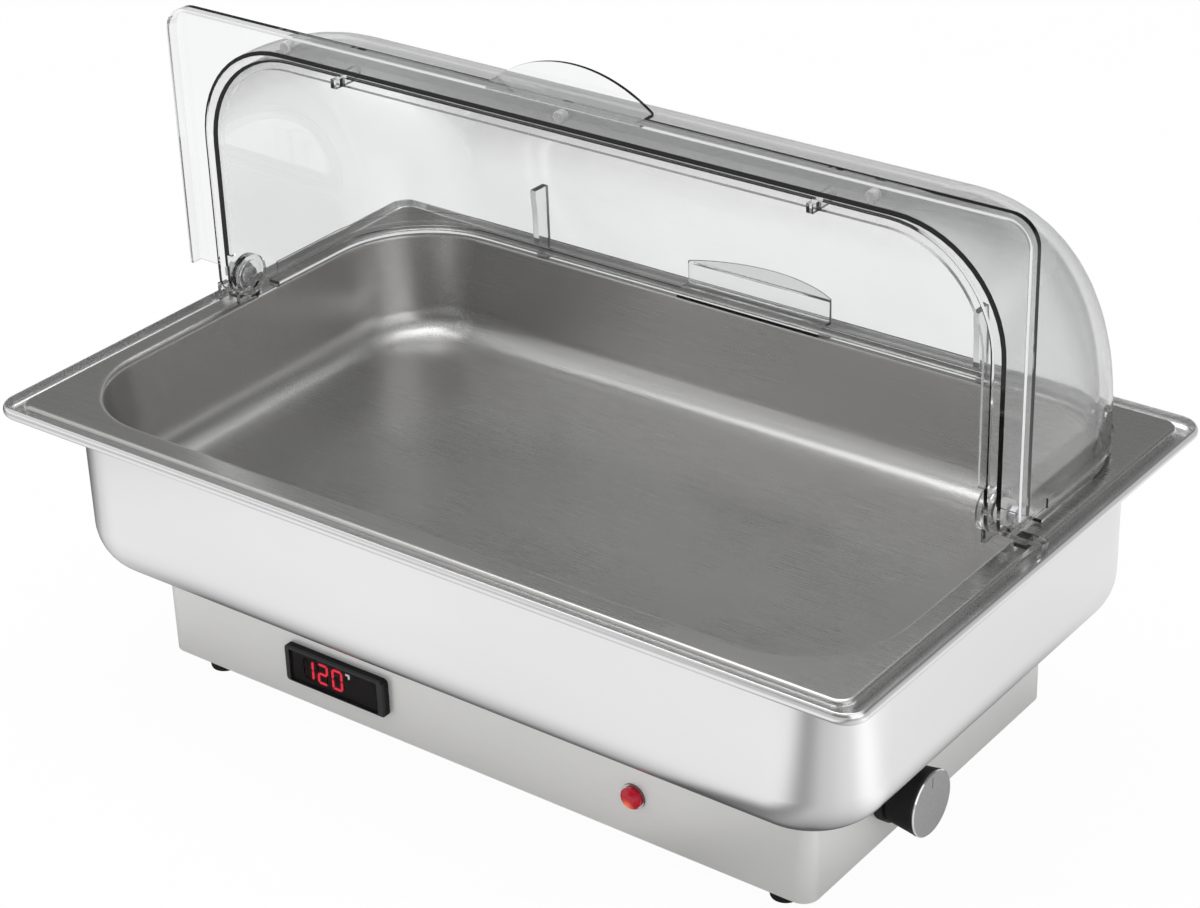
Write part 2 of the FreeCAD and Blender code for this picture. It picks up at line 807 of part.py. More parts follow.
# Fasteners of the tub and the bottom plate
stud_length = base_sheet + nut_height + stud_end
node(
    "tub_studs",
    group(*[rod(screw_radius, stud_length, x, y, tub_z - stud_length) for x, y in tub_screw_places]),
)
node("tub_nuts", group(*[nut(x, y, tub_z - base_sheet - nut_height) for x, y in tub_screw_places]))
plate_under = plate_top - base_sheet
node(
    "plate_screws",
    group(*[screw(x, y, plate_under, thread_length) for x, y in plate_screw_places]),
)

# Rubber feet, each on a screw with a nut inside the base
feet = []
foot_screws = []
foot_nuts = []
for x, y in foot_places:
    shell = cone(foot_bottom_radius, foot_top_radius, plate_under, x, y)
    well = rod(foot_bore_radius, plate_under - foot_web, x, y)
    feet.append(less(shell, well, rod(screw_hole, plate_under, x, y)))
    foot_screws.append(screw(x, y, plate_under - foot_web, foot_web + base_sheet + nut_height + 1))
    foot_nuts.append(nut(x, y, plate_top))
node("rubber_feet", group(*feet))
node("foot_screws", group(*foot_screws))
node("foot_nuts", group(*foot_nuts))

# Heater stack: spreader plate, tubular element, clamp bars, insulation and heat shield on studs
run_places = [step * element_pitch for step in (-1.5, -0.5, 0.5, 1.5)]
pin_places = [run_places[0], run_places[3]]
lead_drop_x = element_run / 2 + pin_length + 1.8 * lead_bend


def stack_holes(z, height):
    """Holes for the studs and for the two leads that come up to the element."""
    holes = [rod(screw_hole, height, x, 0, z) for x in clamp_places]
    return holes + [rod(lead_hole, height, lead_drop_x, y, z) for y in pin_places]


spreader = block(spreader_length, spreader_width, spreader_thickness, 0, 0, spreader_z)
node(
    "heat_spreader",
    less(spreader, *[rod(screw_hole, spreader_thickness, x, 0, spreader_z) for x in clamp_places]),
)
element_parts = [
    rod(element_radius, element_run, -element_run / 2, y, element_z, "x") for y in run_places
]
for y, side in ((-1, -1), (0, 1), (1, -1)):
    bend = doc.addObject("Part::Torus", "bend")
    bind(bend, Radius1=element_pitch / 2, Radius2=element_radius)
    bend.Angle3 = 180
    turn = FreeCAD.Rotation(FreeCAD.Vector(0, 0, 1), -90 * side)
    place(bend, side * element_run / 2, y * element_pitch, element_z, turn)
    element_parts.append(bend)
node("heating_element", join(*element_parts))
node(
    "element_pins",
    group(*[rod(pin_radius, pin_length, element_run / 2, y, element_z, "x") for y in pin_places]),
)
clamps = []
for x in clamp_places:
    bar = block(clamp_width, spreader_width, clamp_thickness, x, 0, clamp_z)
    clamps.append(less(bar, rod(screw_hole, clamp_thickness, x, 0, clamp_z)))
node("element_clamps", group(*clamps))
node("clamp_nuts", group(*[nut(x, 0, clamp_z - nut_height) for x in clamp_places]))
pad_blank = block(spreader_length, spreader_width, insulation_thickness, 0, 0, insulation_z)
node(
    "insulation_pad",
    less(pad_blank, *stack_holes(insulation_z, insulation_thickness)),
)
tray_length = spreader_length + 2 * (shield_thickness + seat_gap)
tray_width = spreader_width + 2 * (shield_thickness + seat_gap)
tray = block(tray_length, tray_width, shield_thickness + shield_lip, 0, 0, shield_z)
tray_hollow = block(
    spreader_length + 2 * seat_gap, spreader_width + 2 * seat_gap, shield_lip, 0, 0, insulation_z
)
node(
    "heat_shield",
    less(tray, tray_hollow, *stack_holes(shield_z, shield_thickness)),
)
long_stud = tub_z - shield_z + nut_height + stud_end
node(
    "heater_studs",
    group(*[rod(screw_radius, long_stud, x, 0, tub_z - long_stud) for x in clamp_places]),
)
node("shield_nuts", group(*[nut(x, 0, shield_z - nut_height) for x in clamp_places]))

# Thermal cutout on the spreader plate
cutout_flange_z = spreader_z - cutout_flange
cutout_plate = block(
    cutout_screw_spacing + 4 * cutout_screw_radius + 2,
    4 * cutout_screw_radius + 2,
    cutout_flange,
    cutout_x,
    0,
    cutout_flange_z,
)
cutout_can = rod(cutout_radius, cutout_height, cutout_x, 0, cutout_flange_z - cutout_height)
cutout_ears = [cutout_x + side * cutout_screw_spacing / 2 for side in (-1, 1)]
node(
    "thermal_cutout",
    less(
        join(cutout_plate, cutout_can),
        *[
            rod(cutout_screw_radius + screw_clearance, cutout_flange, x, 0, cutout_flange_z)
            for x in cutout_ears
        ],
    ),
)
node(
    "cutout_screws",
    group(
        *[
            join(
                rod(cutout_screw_radius, cutout_flange, x, 0, cutout_flange_z),
                rod(2 * cutout_screw_radius, cutout_flange, x, 0, cutout_flange_z - cutout_flange),
            )
            for x in cutout_ears
        ]
    ),
)

# Thermostat behind the right wall, with its bulb clamped beside the element
wall_inner_x = right_x - base_sheet
thermostat_back = wall_inner_x - thermostat_depth
thermostat_box = block(
    thermostat_depth,
    thermostat_width,
    thermostat_height,
    thermostat_back + thermostat_depth / 2,
    knob_y,
    knob_z - thermostat_height / 2,
)
thermostat_screw_reach = thread_length
thermostat_cuts = [
    rod(shaft_radius + fit_clearance, shaft_seat, wall_inner_x - shaft_seat, knob_y, knob_z, "x")
]
for side in (-1, 1):
    z = knob_z + side * thermostat_screw_spacing / 2
    thermostat_cuts.append(
        rod(screw_hole, thermostat_screw_reach, wall_inner_x - thermostat_screw_reach, knob_y, z, "x")
    )
node("thermostat_body", less(thermostat_box, *thermostat_cuts))
collar_face = right_x + collar_thickness
collar_blank = rod(collar_radius, collar_thickness, right_x, knob_y, knob_z, "x")
collar_cuts = [rod(collar_bore, collar_thickness, right_x, knob_y, knob_z, "x")]
collar_screws = []
head_seat = right_x + collar_thickness - screw_head_height - 2 * seat_gap
for side in (-1, 1):
    z = knob_z + side * thermostat_screw_spacing / 2
    collar_cuts.append(rod(screw_hole, collar_thickness, right_x, knob_y, z, "x"))
    collar_cuts.append(
        rod(screw_head_radius + seat_gap, collar_thickness, head_seat, knob_y, z, "x")
    )
    shank = rod(
        screw_radius,
        head_seat - wall_inner_x + thermostat_screw_reach - stud_end,
        wall_inner_x - thermostat_screw_reach + stud_end,
        knob_y,
        z,
        "x",
    )
    collar_screws.append(
        join(shank, rod(screw_head_radius, screw_head_height, head_seat, knob_y, z, "x"))
    )
node("knob_collar", less(collar_blank, *collar_cuts))
node("thermostat_screws", group(*collar_screws))
node(
    "sensor_bulb",
    rod(
        element_radius,
        bulb_length,
        -clamp_spacing - bulb_length / 2,
        bulb_y,
        element_z,
        "x",
    ),
)

# Knob: tapered black skirt, metal cap with an engraved pointer, and the thermostat shaft
knob_back = collar_face + knob_gap
knob_front = knob_back + knob_length
shaft_end = knob_front - knob_wall
skirt = cone(knob_back_radius, knob_radius, knob_length, knob_back, knob_y, knob_z, "x")
skirt_hollow = less(
    cone(
        knob_back_radius - knob_wall,
        knob_radius - knob_wall,
        knob_length - knob_wall,
        knob_back,
        knob_y,
        knob_z,
        "x",
    ),
    rod(shaft_radius + knob_wall, knob_length - knob_wall, knob_back, knob_y, knob_z, "x"),
)
shaft_bore = rod(shaft_radius + fit_clearance, shaft_end - knob_back, knob_back, knob_y, knob_z, "x")
node("knob_skirt", less(skirt, skirt_hollow, shaft_bore))
cap_blank = rod(knob_radius, cap_thickness, knob_front, knob_y, knob_z, "x")
pointer = block(
    2 * pointer_depth,
    pointer_width,
    pointer_length,
    knob_front + cap_thickness,
    knob_y,
    knob_z + knob_radius - pointer_inset - pointer_length,
)
doc.recompute()
cap_rounded = doc.addObject("Part::Fillet", "cap_rounded")
cap_rounded.Base = cap_blank
cap_front_x = (knob_front + cap_thickness).number
cap_edges = [
    (i, cap_round.number, cap_round.number)
    for i, edge in enumerate(cap_blank.Shape.Edges, 1)
    if abs(edge.BoundBox.XMin - cap_front_x) < 0.01
]
cap_rounded.Edges = cap_edges
node("knob_cap", less(cap_rounded, pointer))
shaft_start = wall_inner_x - shaft_seat + stud_end / 2
shaft = rod(shaft_radius, shaft_end - shaft_start, shaft_start, knob_y, knob_z, "x")
shaft_step = block(
    shaft_end - knob_back,
    2 * shaft_radius,
    shaft_radius,
    (shaft_end + knob_back) / 2,
    knob_y,
    knob_z + shaft_radius - shaft_flat,
)
node("thermostat_shaft", less(shaft, shaft_step))

# Display: bezel with a sleeve through the wall, dark window, digits on their module, circuit board


def behind_window(length, height, y, depth):
    """A box centred on the window that runs back from y."""
    return block(length, depth, height, window_x, y + depth / 2, window_z - height / 2)


bezel_face = front_y - bezel_depth
through_length = window_length - 2 * window_ledge
through_height = window_height - 2 * window_ledge
bezel_frame = front_slab(
    bezel_length, bezel_height, bezel_corner, bezel_x, bezel_face, bezel_z, bezel_depth
)
doc.recompute()
bezel_edge = doc.addObject("Part::Chamfer", "bezel_edge")
bezel_edge.Base = bezel_frame
bezel_edge.Edges = [
    (i, bezel_chamfer.number, bezel_chamfer.number)
    for i, edge in enumerate(bezel_frame.Shape.Edges, 1)
    if abs(edge.BoundBox.YMin - bezel_face.number) < 0.01
    and abs(edge.BoundBox.YMax - bezel_face.number) < 0.01
]
sleeve = behind_window(sleeve_length, sleeve_height, front_y, sleeve_depth)
through = behind_window(through_length, through_height, bezel_face, bezel_depth + sleeve_depth)
window_seat = window_recess + window_thickness
seat_cut = behind_window(window_length, window_height, bezel_face, window_seat)
node("display_bezel", less(join(bezel_edge, sleeve), through, seat_cut))
node(
    "display_window",
    behind_window(
        window_length - 2 * fit_clearance,
        window_height - 2 * fit_clearance,
        bezel_face + window_recess,
        window_thickness,
    ),
)
digit_y = bezel_face + window_seat
module_y = digit_y + digit_thickness
node(
    "display_module",
    behind_window(
        through_length - 2 * fit_clearance,
        through_height - 2 * fit_clearance,
        module_y,
        front_y + sleeve_depth - module_y,
    ),
)
digit_z = window_z + digit_lift
half_digit = digit_height / 2
bar_length = digit_width - digit_stroke - 2 * digit_gap
post_length = half_digit - digit_stroke / 2 - 2 * digit_gap
# Each segment: along the digit ("bar") or up it ("post"), with its place in halves of the digit
SEGMENTS = {
    "top": ("bar", 0, 1),
    "middle": ("bar", 0, 0),
    "bottom": ("bar", 0, -1),
    "upper left": ("post", -1, 0.5),
    "upper right": ("post", 1, 0.5),
    "lower left": ("post", -1, -0.5),
    "lower right": ("post", 1, -0.5),
}
SHOWN = [
    ("upper right", "lower right"),
    ("top", "upper right", "middle", "lower left", "bottom"),
    ("top", "upper left", "upper right", "lower left", "lower right", "bottom"),
]
segments = []
for place_in_row, names in zip((-1, 0, 1), SHOWN):
    centre_x = window_x + digit_shift + place_in_row * digit_pitch
    for name in names:
        kind, across, upward = SEGMENTS[name]
        along_x = bar_length if kind == "bar" else digit_stroke
        along_z = digit_stroke if kind == "bar" else post_length
        x = centre_x + across * (digit_width - digit_stroke) / 2
        z = digit_z + upward * (half_digit - digit_stroke / 2) - along_z / 2
        segments.append(
            block(along_x, digit_thickness, along_z, x, digit_y + digit_thickness / 2, z)
        )
node("display_digits", group(*segments))
mark_x = window_x + digit_shift + 1.5 * digit_pitch + mark_size
mark_z = digit_z + half_digit - mark_size
mark_bar = block(
    mark_size,
    digit_thickness,
    mark_size / 3,
    mark_x,
    digit_y + digit_thickness / 2,
    mark_z + mark_size * 2 / 3,
)
mark_post = block(
    mark_size / 3,
    digit_thickness,
    mark_size,
    mark_x + mark_size / 3,
    digit_y + digit_thickness / 2,
    mark_z,
)
node("display_mark", join(mark_bar, mark_post))
node(
    "display_board",
    behind_window(sleeve_length, sleeve_height, front_y + sleeve_depth, board_thickness),
)

# Pilot lamp: faceted lens in a thin ring, body through the wall, clip nut behind it
ring_face = front_y - lamp_ring_thickness
node(
    "lamp_ring",
    less(
        rod(lamp_ring_radius, lamp_ring_thickness, lamp_x, ring_face, lamp_z, "y"),
        rod(lamp_body_radius + seat_gap, lamp_ring_thickness, lamp_x, ring_face, lamp_z, "y"),
    ),
)
lens_base = bind(
    doc.addObject("Part::Prism", "lens_base"),
    Circumradius=lamp_lens_radius,
    Height=lamp_lens_height / 2,
)
lens_base.Polygon = 8
place(lens_base, lamp_x, ring_face - lamp_lens_height / 2, lamp_z, ALONG["y"])
lens_crown = cone(
    lamp_lens_radius * 0.55,
    lamp_lens_radius * 0.92,
    lamp_lens_height / 2,
    lamp_x,
    ring_face - lamp_lens_height,
    lamp_z,
    "y",
)
node("lamp_lens", join(lens_base, lens_crown))
node(
    "lamp_body",
    rod(lamp_body_radius, lamp_body_length, lamp_x, ring_face, lamp_z, "y"),
)
nut_face = front_y + base_sheet
node(
    "lamp_nut",
    less(
        rod(lamp_nut_radius, lamp_nut_height, lamp_x, nut_face, lamp_z, "y"),
        rod(lamp_body_radius + seat_gap, lamp_nut_height, lamp_x, nut_face, lamp_z, "y"),
    ),
)

# Appliance inlet on the back wall
back_y = base_width / 2
inlet_face = back_y + inlet_flange_thickness
inlet_back = back_y - base_sheet - inlet_body_depth
inlet_flange = block(
    inlet_flange_length,
    inlet_flange_thickness,
    inlet_flange_height,
    inlet_x,
    back_y + inlet_flange_thickness / 2,
    inlet_z - inlet_flange_height / 2,
)
inlet_body = block(
    inlet_body_length,
    back_y - inlet_back,
    inlet_body_height,
    inlet_x,
    (back_y + inlet_back) / 2,
    inlet_z - inlet_body_height / 2,
)
inlet_cuts = [
    block(
        inlet_socket_length,
        inlet_socket_depth,
        inlet_socket_height,
        inlet_x,
        inlet_face - inlet_socket_depth / 2,
        inlet_z - inlet_socket_height / 2,
    )
]
for side in (-1, 1):
    inlet_cuts.append(
        rod(
            screw_hole,
            inlet_flange_thickness,
            inlet_x + side * inlet_screw_spacing / 2,
            back_y,
            inlet_z,
            "y",
        )
    )
pin_start = inlet_back - tab_length
pin_run = inlet_face - inlet_socket_depth + inlet_pin_reach - pin_start
inlet_pin_boxes = []
inlet_pin_holes = []
inlet_lead_places = []
for step in (-1, 0, 1):
    pin_x = inlet_x + step * inlet_pin_spacing
    pin_z = inlet_z + (1 - abs(step) * 2) * inlet_pin_width / 2
    inlet_pin_boxes.append(
        block(
            inlet_pin_thickness,
            pin_run,
            inlet_pin_width,
            pin_x,
            pin_start + pin_run / 2,
            pin_z - inlet_pin_width / 2,
        )
    )
    inlet_pin_holes.append(
        block(
            inlet_pin_thickness,
            pin_run,
            inlet_pin_width,
            pin_x,
            pin_start + pin_run / 2,
            pin_z - inlet_pin_width / 2,
        )
    )
    inlet_lead_places.append((pin_x, pin_start, pin_z))
node("inlet_socket", less(join(inlet_flange, inlet_body), *inlet_cuts, *inlet_pin_holes))
node("inlet_pins", group(*inlet_pin_boxes))
inlet_screws = []
inlet_nuts = []
for side in (-1, 1):
    x = inlet_x + side * inlet_screw_spacing / 2
    shank = inlet_flange_thickness + base_sheet + nut_height + stud_end
    inlet_screws.append(
        join(
            rod(screw_radius, shank, x, inlet_face - shank, inlet_z, "y"),
            rod(screw_head_radius, screw_head_height, x, inlet_face, inlet_z, "y"),
        )
    )
    inlet_nuts.append(nut(x, back_y - base_sheet - nut_height, inlet_z, "y"))
node("inlet_screws", group(*inlet_screws))
node("inlet_nuts", group(*inlet_nuts))

# Terminal block and earth stud on the bottom plate
block_cuts = []
terminal_screws = []
terminal_places = [block_x + step * terminal_pitch for step in (-1, 0, 1)]
terminal_z = plate_top + block_height / 2
for x in terminal_places:
    block_cuts.append(
        rod(lead_radius + seat_gap, block_width, x, block_y - block_width / 2, terminal_z, "y")
    )
    block_cuts.append(rod(screw_hole, block_height / 2, x, block_y, terminal_z))
    terminal_screws.append(
        rod(screw_radius, block_height / 2 - lead_radius, x, block_y, terminal_z + lead_radius)
    )
node(
    "terminal_block",
    less(block(block_length, block_width, block_height, block_x, block_y, plate_top), *block_cuts),
)
node("terminal_screws", group(*terminal_screws))
earth_length = base_sheet + 2 * nut_height + stud_end
node(
    "earth_stud",
    join(
        rod(screw_radius, earth_length, earth_x, earth_y, plate_under),
        rod(screw_head_radius, screw_head_height, earth_x, earth_y, plate_under - screw_head_height),
    ),
)
node("earth_nut", nut(earth_x, earth_y, plate_top))


def run_of_tube(points, radius, bend):
    """A round tube along straight runs that are joined by tangent arcs."""
    corners = [FreeCAD.Vector(*[as_size(v).number for v in point]) for point in points]
    radius = radius.number
    edges = []
    start = corners[0]
    for before, corner, after in zip(corners, corners[1:], corners[2:]):
        arrive = (corner - before).normalize()
        leave = (after - corner).normalize()
        turn = arrive.getAngle(leave)
        reach = bend.number * math.tan(turn / 2)
        first = corner - arrive * reach
        last = corner + leave * reach
        inward = (leave - arrive).normalize()
        centre = corner + inward * (bend.number / math.cos(turn / 2))
        middle = centre - inward * bend.number
        edges.append(Part.LineSegment(start, first).toShape())
        edges.append(Part.Arc(first, middle, last).toShape())
        start = last
    edges.append(Part.LineSegment(start, corners[-1]).toShape())
    path = Part.Wire(edges)
    section = Part.Circle(corners[0], (corners[1] - corners[0]).normalize(), radius).toShape()
    tube = path.makePipeShell([Part.Wire([section])], True, False)
    expected = math.pi * radius**2 * path.Length
    if abs(tube.Volume / expected - 1) > 0.02:
        raise RuntimeError("a tube's volume differs from its section times its length")
    return tube


def tubes(name, routes, radius, bend):
    """A sub-part of one or more bent tubes."""
    shapes = [run_of_tube(route, radius, bend) for route in routes]
    feature = doc.addObject("Part::Feature", name)
    feature.Shape = shapes[0] if len(shapes) == 1 else Part.makeCompound(shapes)
    return node(name, feature)


# Capillary from the bulb, over the clamp bars, out past the heat shield and to the thermostat
bulb_end = -clamp_spacing + bulb_length / 2
capillary_drop_x = element_run / 2 - 2 * capillary_bend
capillary_x = (tray_length / 2 + thermostat_back) / 2
capillary_low = element_z - element_radius - 2 * capillary_radius
tubes(
    "capillary_tube",
    [
        [
            (bulb_end, bulb_y, element_z),
            (capillary_drop_x, bulb_y, element_z),
            (capillary_drop_x + capillary_bend, bulb_y, capillary_low),
            (capillary_x, bulb_y, capillary_low),
            (capillary_x, knob_y, knob_z),
            (thermostat_back, knob_y, knob_z),
        ]
    ],
    capillary_radius,
    capillary_bend,
)

# Leads from the inlet to the terminal block, and from the block to the element pins
inlet_gap = inlet_lead_places[0][1] - block_y - block_width / 2
supply_routes = []
for (pin_x, pin_y, pin_z), block_place in zip(inlet_lead_places, terminal_places):
    supply_routes.append(
        [
            (pin_x, pin_y, pin_z),
            (pin_x, pin_y - inlet_gap / 3, pin_z),
            (block_place, block_y + block_width / 2 + inlet_gap / 3, terminal_z),
            (block_place, block_y + 2 * lead_radius, terminal_z),
        ]
    )
tubes("supply_leads", supply_routes, lead_radius, 2 * lead_radius)
element_end = element_run / 2 + pin_length
lead_turn_y = block_y - block_width / 2 - 2 * lead_bend
element_routes = []
for block_place, y in ((terminal_places[2], pin_places[1]), (terminal_places[0], pin_places[0])):
    turn_y = lead_turn_y if y.number > 0 else lead_turn_y - 2 * lead_bend
    element_routes.append(
        [
            (block_place, block_y - 2 * lead_radius, terminal_z),
            (block_place, turn_y, terminal_z),
            (lead_drop_x, turn_y, terminal_z),
            (lead_drop_x, y, terminal_z),
            (lead_drop_x, y, element_z),
            (element_end, y, element_z),
        ]
    )
tubes("element_leads", element_routes, lead_radius, lead_bend)

# Sizes that the two hoods share with the pan and with each other
inner_half_length = pan_length / 2 - hood_inset_side
inner_radius = pan_width / 2 - hood_inset_front
inner_foot = hinge_rise - inner_foot_gap
outer_half_length = inner_half_length + hood_gap_side + hood_wall
outer_radius = inner_radius + hood_gap_round + hood_wall
outer_corner = hood_corner + hood_wall
frame_half_length = pan_length / 2 + frame_overhang
frame_half_width = pan_width / 2
frame_lip_foot = hinge_rise - frame_foot_gap
foot_flange_reach = inner_radius + foot_flange_width
handle_radial = frame_half_width

# Clear hoods. Each is drawn closed at the back, about the hinge axis as the X axis, and then turned
# into place. Its shell is a solid of revolution with round corners.


def revolved(half_length, radius, corner):
    """A solid of revolution about the X axis: a drum with rounded ends."""
    sketch = free_sketch()
    w = half_length.number
    top = radius.number
    r = corner.number
    up = FreeCAD.Vector(0, 0, 1)

    def line(x0, y0, x1, y1):
        return Part.LineSegment(FreeCAD.Vector(x0, y0, 0), FreeCAD.Vector(x1, y1, 0))

    def arc(x, start):
        circle = Part.Circle(FreeCAD.Vector(x, top - r, 0), up, r)
        return Part.ArcOfCircle(circle, math.radians(start), math.radians(start + 90))

    sketch.addGeometry(
        [
            line(-w, 0, w, 0),
            line(w, 0, w, top - r),
            arc(w - r, 0),
            line(w - r, top, r - w, top),
            arc(r - w, 90),
            line(-w, top - r, -w, 0),
        ],
        False,
    )
    bottom, right, right_arc, crown, left_arc, left = range(6)
    sketch.addConstraint(
        [
            Sketcher.Constraint("Coincident", bottom, 2, right, 1),
            Sketcher.Constraint("Tangent", right, 2, right_arc, 1),
            Sketcher.Constraint("Tangent", right_arc, 2, crown, 1),
            Sketcher.Constraint("Tangent", crown, 2, left_arc, 1),
            Sketcher.Constraint("Tangent", left_arc, 2, left, 1),
            Sketcher.Constraint("Coincident", left, 2, bottom, 1),
            Sketcher.Constraint("Horizontal", bottom),
            Sketcher.Constraint("Horizontal", crown),
            Sketcher.Constraint("Vertical", right),
            Sketcher.Constraint("Vertical", left),
            Sketcher.Constraint("Equal", right_arc, left_arc),
            Sketcher.Constraint("Symmetric", bottom, 1, bottom, 2, -1, 1),
        ]
    )
    for kind, arguments, value in (
        ("DistanceX", (bottom, 1, bottom, 2), 2 * half_length),
        ("DistanceY", (bottom, 2, crown, 1), radius),
        ("Radius", (right_arc,), corner),
    ):
        index = sketch.addConstraint(Sketcher.Constraint(kind, *arguments, value.number))
        sketch.setExpression(f"Constraints[{index}]", value.formula)
    drum = doc.addObject("Part::Revolution", "drum")
    drum.Source = sketch
    drum.Axis = FreeCAD.Vector(1, 0, 0)
    drum.Angle = 360
    drum.Solid = True
    sketch.Visibility = False
    return drum


def shell_between(half_length, radius, corner, wall):
    """The wall between a drum and a smaller drum inside it."""
    return less(
        revolved(half_length, radius, corner),
        revolved(half_length - wall, radius - wall, corner - wall),
    )


def quarter(half_length, radius, edge, foot):
    """The space that a hood keeps: behind its edge and above its foot, stepped in round the ear so
    that the hinge strap passes under the ear through the whole turn."""
    span = 2 * (half_length + ear_radius)
    notch = strap_y + strap_width / 2 + ear_notch
    return join(
        block(span, radius + edge, radius, 0, (radius - edge) / 2, notch),
        block(span, radius - notch, radius + foot, 0, (radius + notch) / 2, -foot),
        block(span, radius + ear_radius, radius, 0, (radius - ear_radius) / 2, 0),
        block(span, radius, radius + ear_radius, 0, radius / 2, -ear_radius),
        rod(ear_radius, span, -span / 2, 0, 0, "x"),
    )


def handle(reach, plate_top_z):
    """A riser on a flange and a thin lip that bulges outward in an arc."""
    riser = block(
        handle_length,
        handle_thickness,
        -handle_top - plate_top_z,
        0,
        handle_radial - handle_thickness / 2,
        plate_top_z,
    )
    half = handle_length / 2
    arc_radius = (half * half + reach * reach) / (2 * reach)
    lip_z = -handle_top - handle_thickness
    disc = rod(arc_radius, handle_thickness, 0, handle_radial + reach - arc_radius, lip_z)
    keep_width = reach + handle_thickness
    keep_y = handle_radial - handle_thickness + keep_width / 2
    keep = block(handle_length, keep_width, handle_thickness, 0, keep_y, lip_z)
    return join(riser, common(disc, keep))


def side_holes():
    """One long drill on the hinge axis."""
    reach = rim_length / 2
    return rod(hinge_screw_radius + fit_clearance, 2 * reach, -reach, 0, 0, "x")


# Rear hood: inner quarter shell, edge bead, narrow foot flange with a tab, and two rest pegs
inner_shell = common(
    shell_between(inner_half_length, inner_radius, hood_corner, hood_wall),
    quarter(inner_half_length, inner_radius, inner_edge, inner_foot),
)
bead_slab = block(
    2 * inner_half_length,
    bead_thickness,
    inner_radius,
    0,
    bead_thickness / 2 - inner_edge,
    bead_start,
)
bead = common(shell_between(inner_half_length, inner_radius, hood_corner, bead_width), bead_slab)
flange_outside = revolved(
    inner_half_length + foot_flange_width,
    foot_flange_reach,
    hood_corner + foot_flange_width,
)
flange_inside = revolved(
    inner_half_length - hood_wall, inner_radius - hood_wall, hood_corner - hood_wall
)
foot_slab = block(
    2 * (inner_half_length + foot_flange_width),
    foot_flange_reach,
    foot_flange_thickness,
    0,
    foot_flange_start + foot_flange_reach / 2,
    -inner_foot,
)
foot_flange = less(common(flange_outside, foot_slab), flange_inside)
tab_reach = handle_radial - inner_radius
tab = block(
    handle_length,
    tab_reach,
    foot_flange_thickness,
    0,
    inner_radius + tab_reach / 2,
    -inner_foot,
)
peg_foot = hinge_rise - peg_gap
pegs = [
    block(
        peg_width,
        peg_foot + peg_back,
        peg_height,
        side * peg_spacing / 2,
        (peg_back - peg_foot) / 2,
        inner_radius - hood_wall / 2 - peg_height,
    )
    for side in (-1, 1)
]
rear_hood = less(join(inner_shell, bead, foot_flange, tab, *pegs), side_holes())
place(node("rear_hood", rear_hood), 0, 0, axis_z)

# Rear handle: a clear lip on a riser, bonded on the tab of the rear hood
rear_handle = handle(rear_handle_reach, foot_flange_thickness - inner_foot)
place(node("rear_handle", rear_handle), 0, 0, axis_z)

# Front hood: outer quarter shell, wide frame plate with a turned lip, handle and two rest legs
outer_shell = common(
    shell_between(outer_half_length, outer_radius, outer_corner, hood_wall),
    quarter(outer_half_length, outer_radius, outer_edge, frame_plate_foot),
)

def frame_block(inset, z, height):
    """Half of a round-cornered plate, from the frame's end by the hinge to its far edge."""
    plate = slab(
        2 * (frame_half_length - inset),
        2 * (frame_half_width - inset),
        frame_corner - inset,
        z,
        height,
    )
    keep_y = frame_end + frame_half_width / 2
    return common(plate, block(2 * frame_half_length, frame_half_width, height, 0, keep_y, z))


frame_plate = less(
    frame_block(as_size(0), -frame_plate_foot, frame_plate_thickness),
    revolved(outer_half_length - hood_wall, outer_radius - hood_wall, outer_corner - hood_wall),
)
lip_height = frame_lip_foot - frame_plate_foot
frame_lip = less(
    frame_block(as_size(0), -frame_lip_foot, lip_height),
    frame_block(frame_lip_thickness, -frame_lip_foot, lip_height),
)
strip_outer = revolved(
    outer_half_length + strip_proud, outer_radius + strip_proud, outer_corner + strip_proud
)
strip_inner = revolved(
    outer_half_length - hood_wall / 2, outer_radius - hood_wall / 2, outer_corner - hood_wall / 2
)
strip_slab = block(
    2 * (outer_half_length + strip_proud),
    strip_height,
    outer_radius + strip_proud,
    0,
    strip_height / 2 - outer_edge,
    strip_start,
)
strip = less(common(strip_outer, strip_slab), strip_inner)
leg_start = outer_radius - hood_wall / 2
leg_foot = frame_lip_foot - outer_edge
leg_end = leg_start + leg_reach
lower_leg_start = foot_flange_reach + leg_gap
legs = []
for side in (-1, 1):
    leg_x = side * peg_spacing / 2
    upper_y = (leg_back - outer_edge) / 2
    lower_y = -outer_edge - leg_foot / 2
    legs.append(block(peg_width, leg_back + outer_edge, leg_reach, leg_x, upper_y, leg_start))
    legs.append(
        block(peg_width, leg_foot, leg_end - lower_leg_start, leg_x, lower_y, lower_leg_start)
    )
front_handle = handle(front_handle_reach, frame_plate_thickness - frame_plate_foot)
front_hood = less(
    join(outer_shell, frame_plate, frame_lip, strip, front_handle, *legs), side_holes()
)
rolled_back = FreeCAD.Rotation(FreeCAD.Vector(1, 0, 0), -90).multiply(
    FreeCAD.Rotation(FreeCAD.Vector(0, 0, 1), 180)
)
place(node("front_hood", front_hood), 0, 0, axis_z, rolled_back)

# Bumpers under the frame plate of the front hood. The closed hood rests on them on the pan flange.
bumpers = [
    rod(
        bumper_radius,
        frame_lip_foot - frame_plate_foot,
        step * bumper_spacing,
        outer_radius + bumper_outset,
        -frame_lip_foot,
    )
    for step in (-1, 0, 1)
]
place(node("hood_bumpers", group(*bumpers)), 0, 0, axis_z, rolled_back)

# Hinges. On each side a clear bracket stands on the pan flange and hooks over its edge. Its cheek
# lies inside the hoods, and a screw carries the rear hood, a washer, the front hood and a nut.


def side_rod(side, radius, start, length):
    """A cylinder on the hinge axis, measured outward from the middle."""
    x = start if side > 0 else -start - length
    return rod(radius, length, x, 0, axis_z, "x")


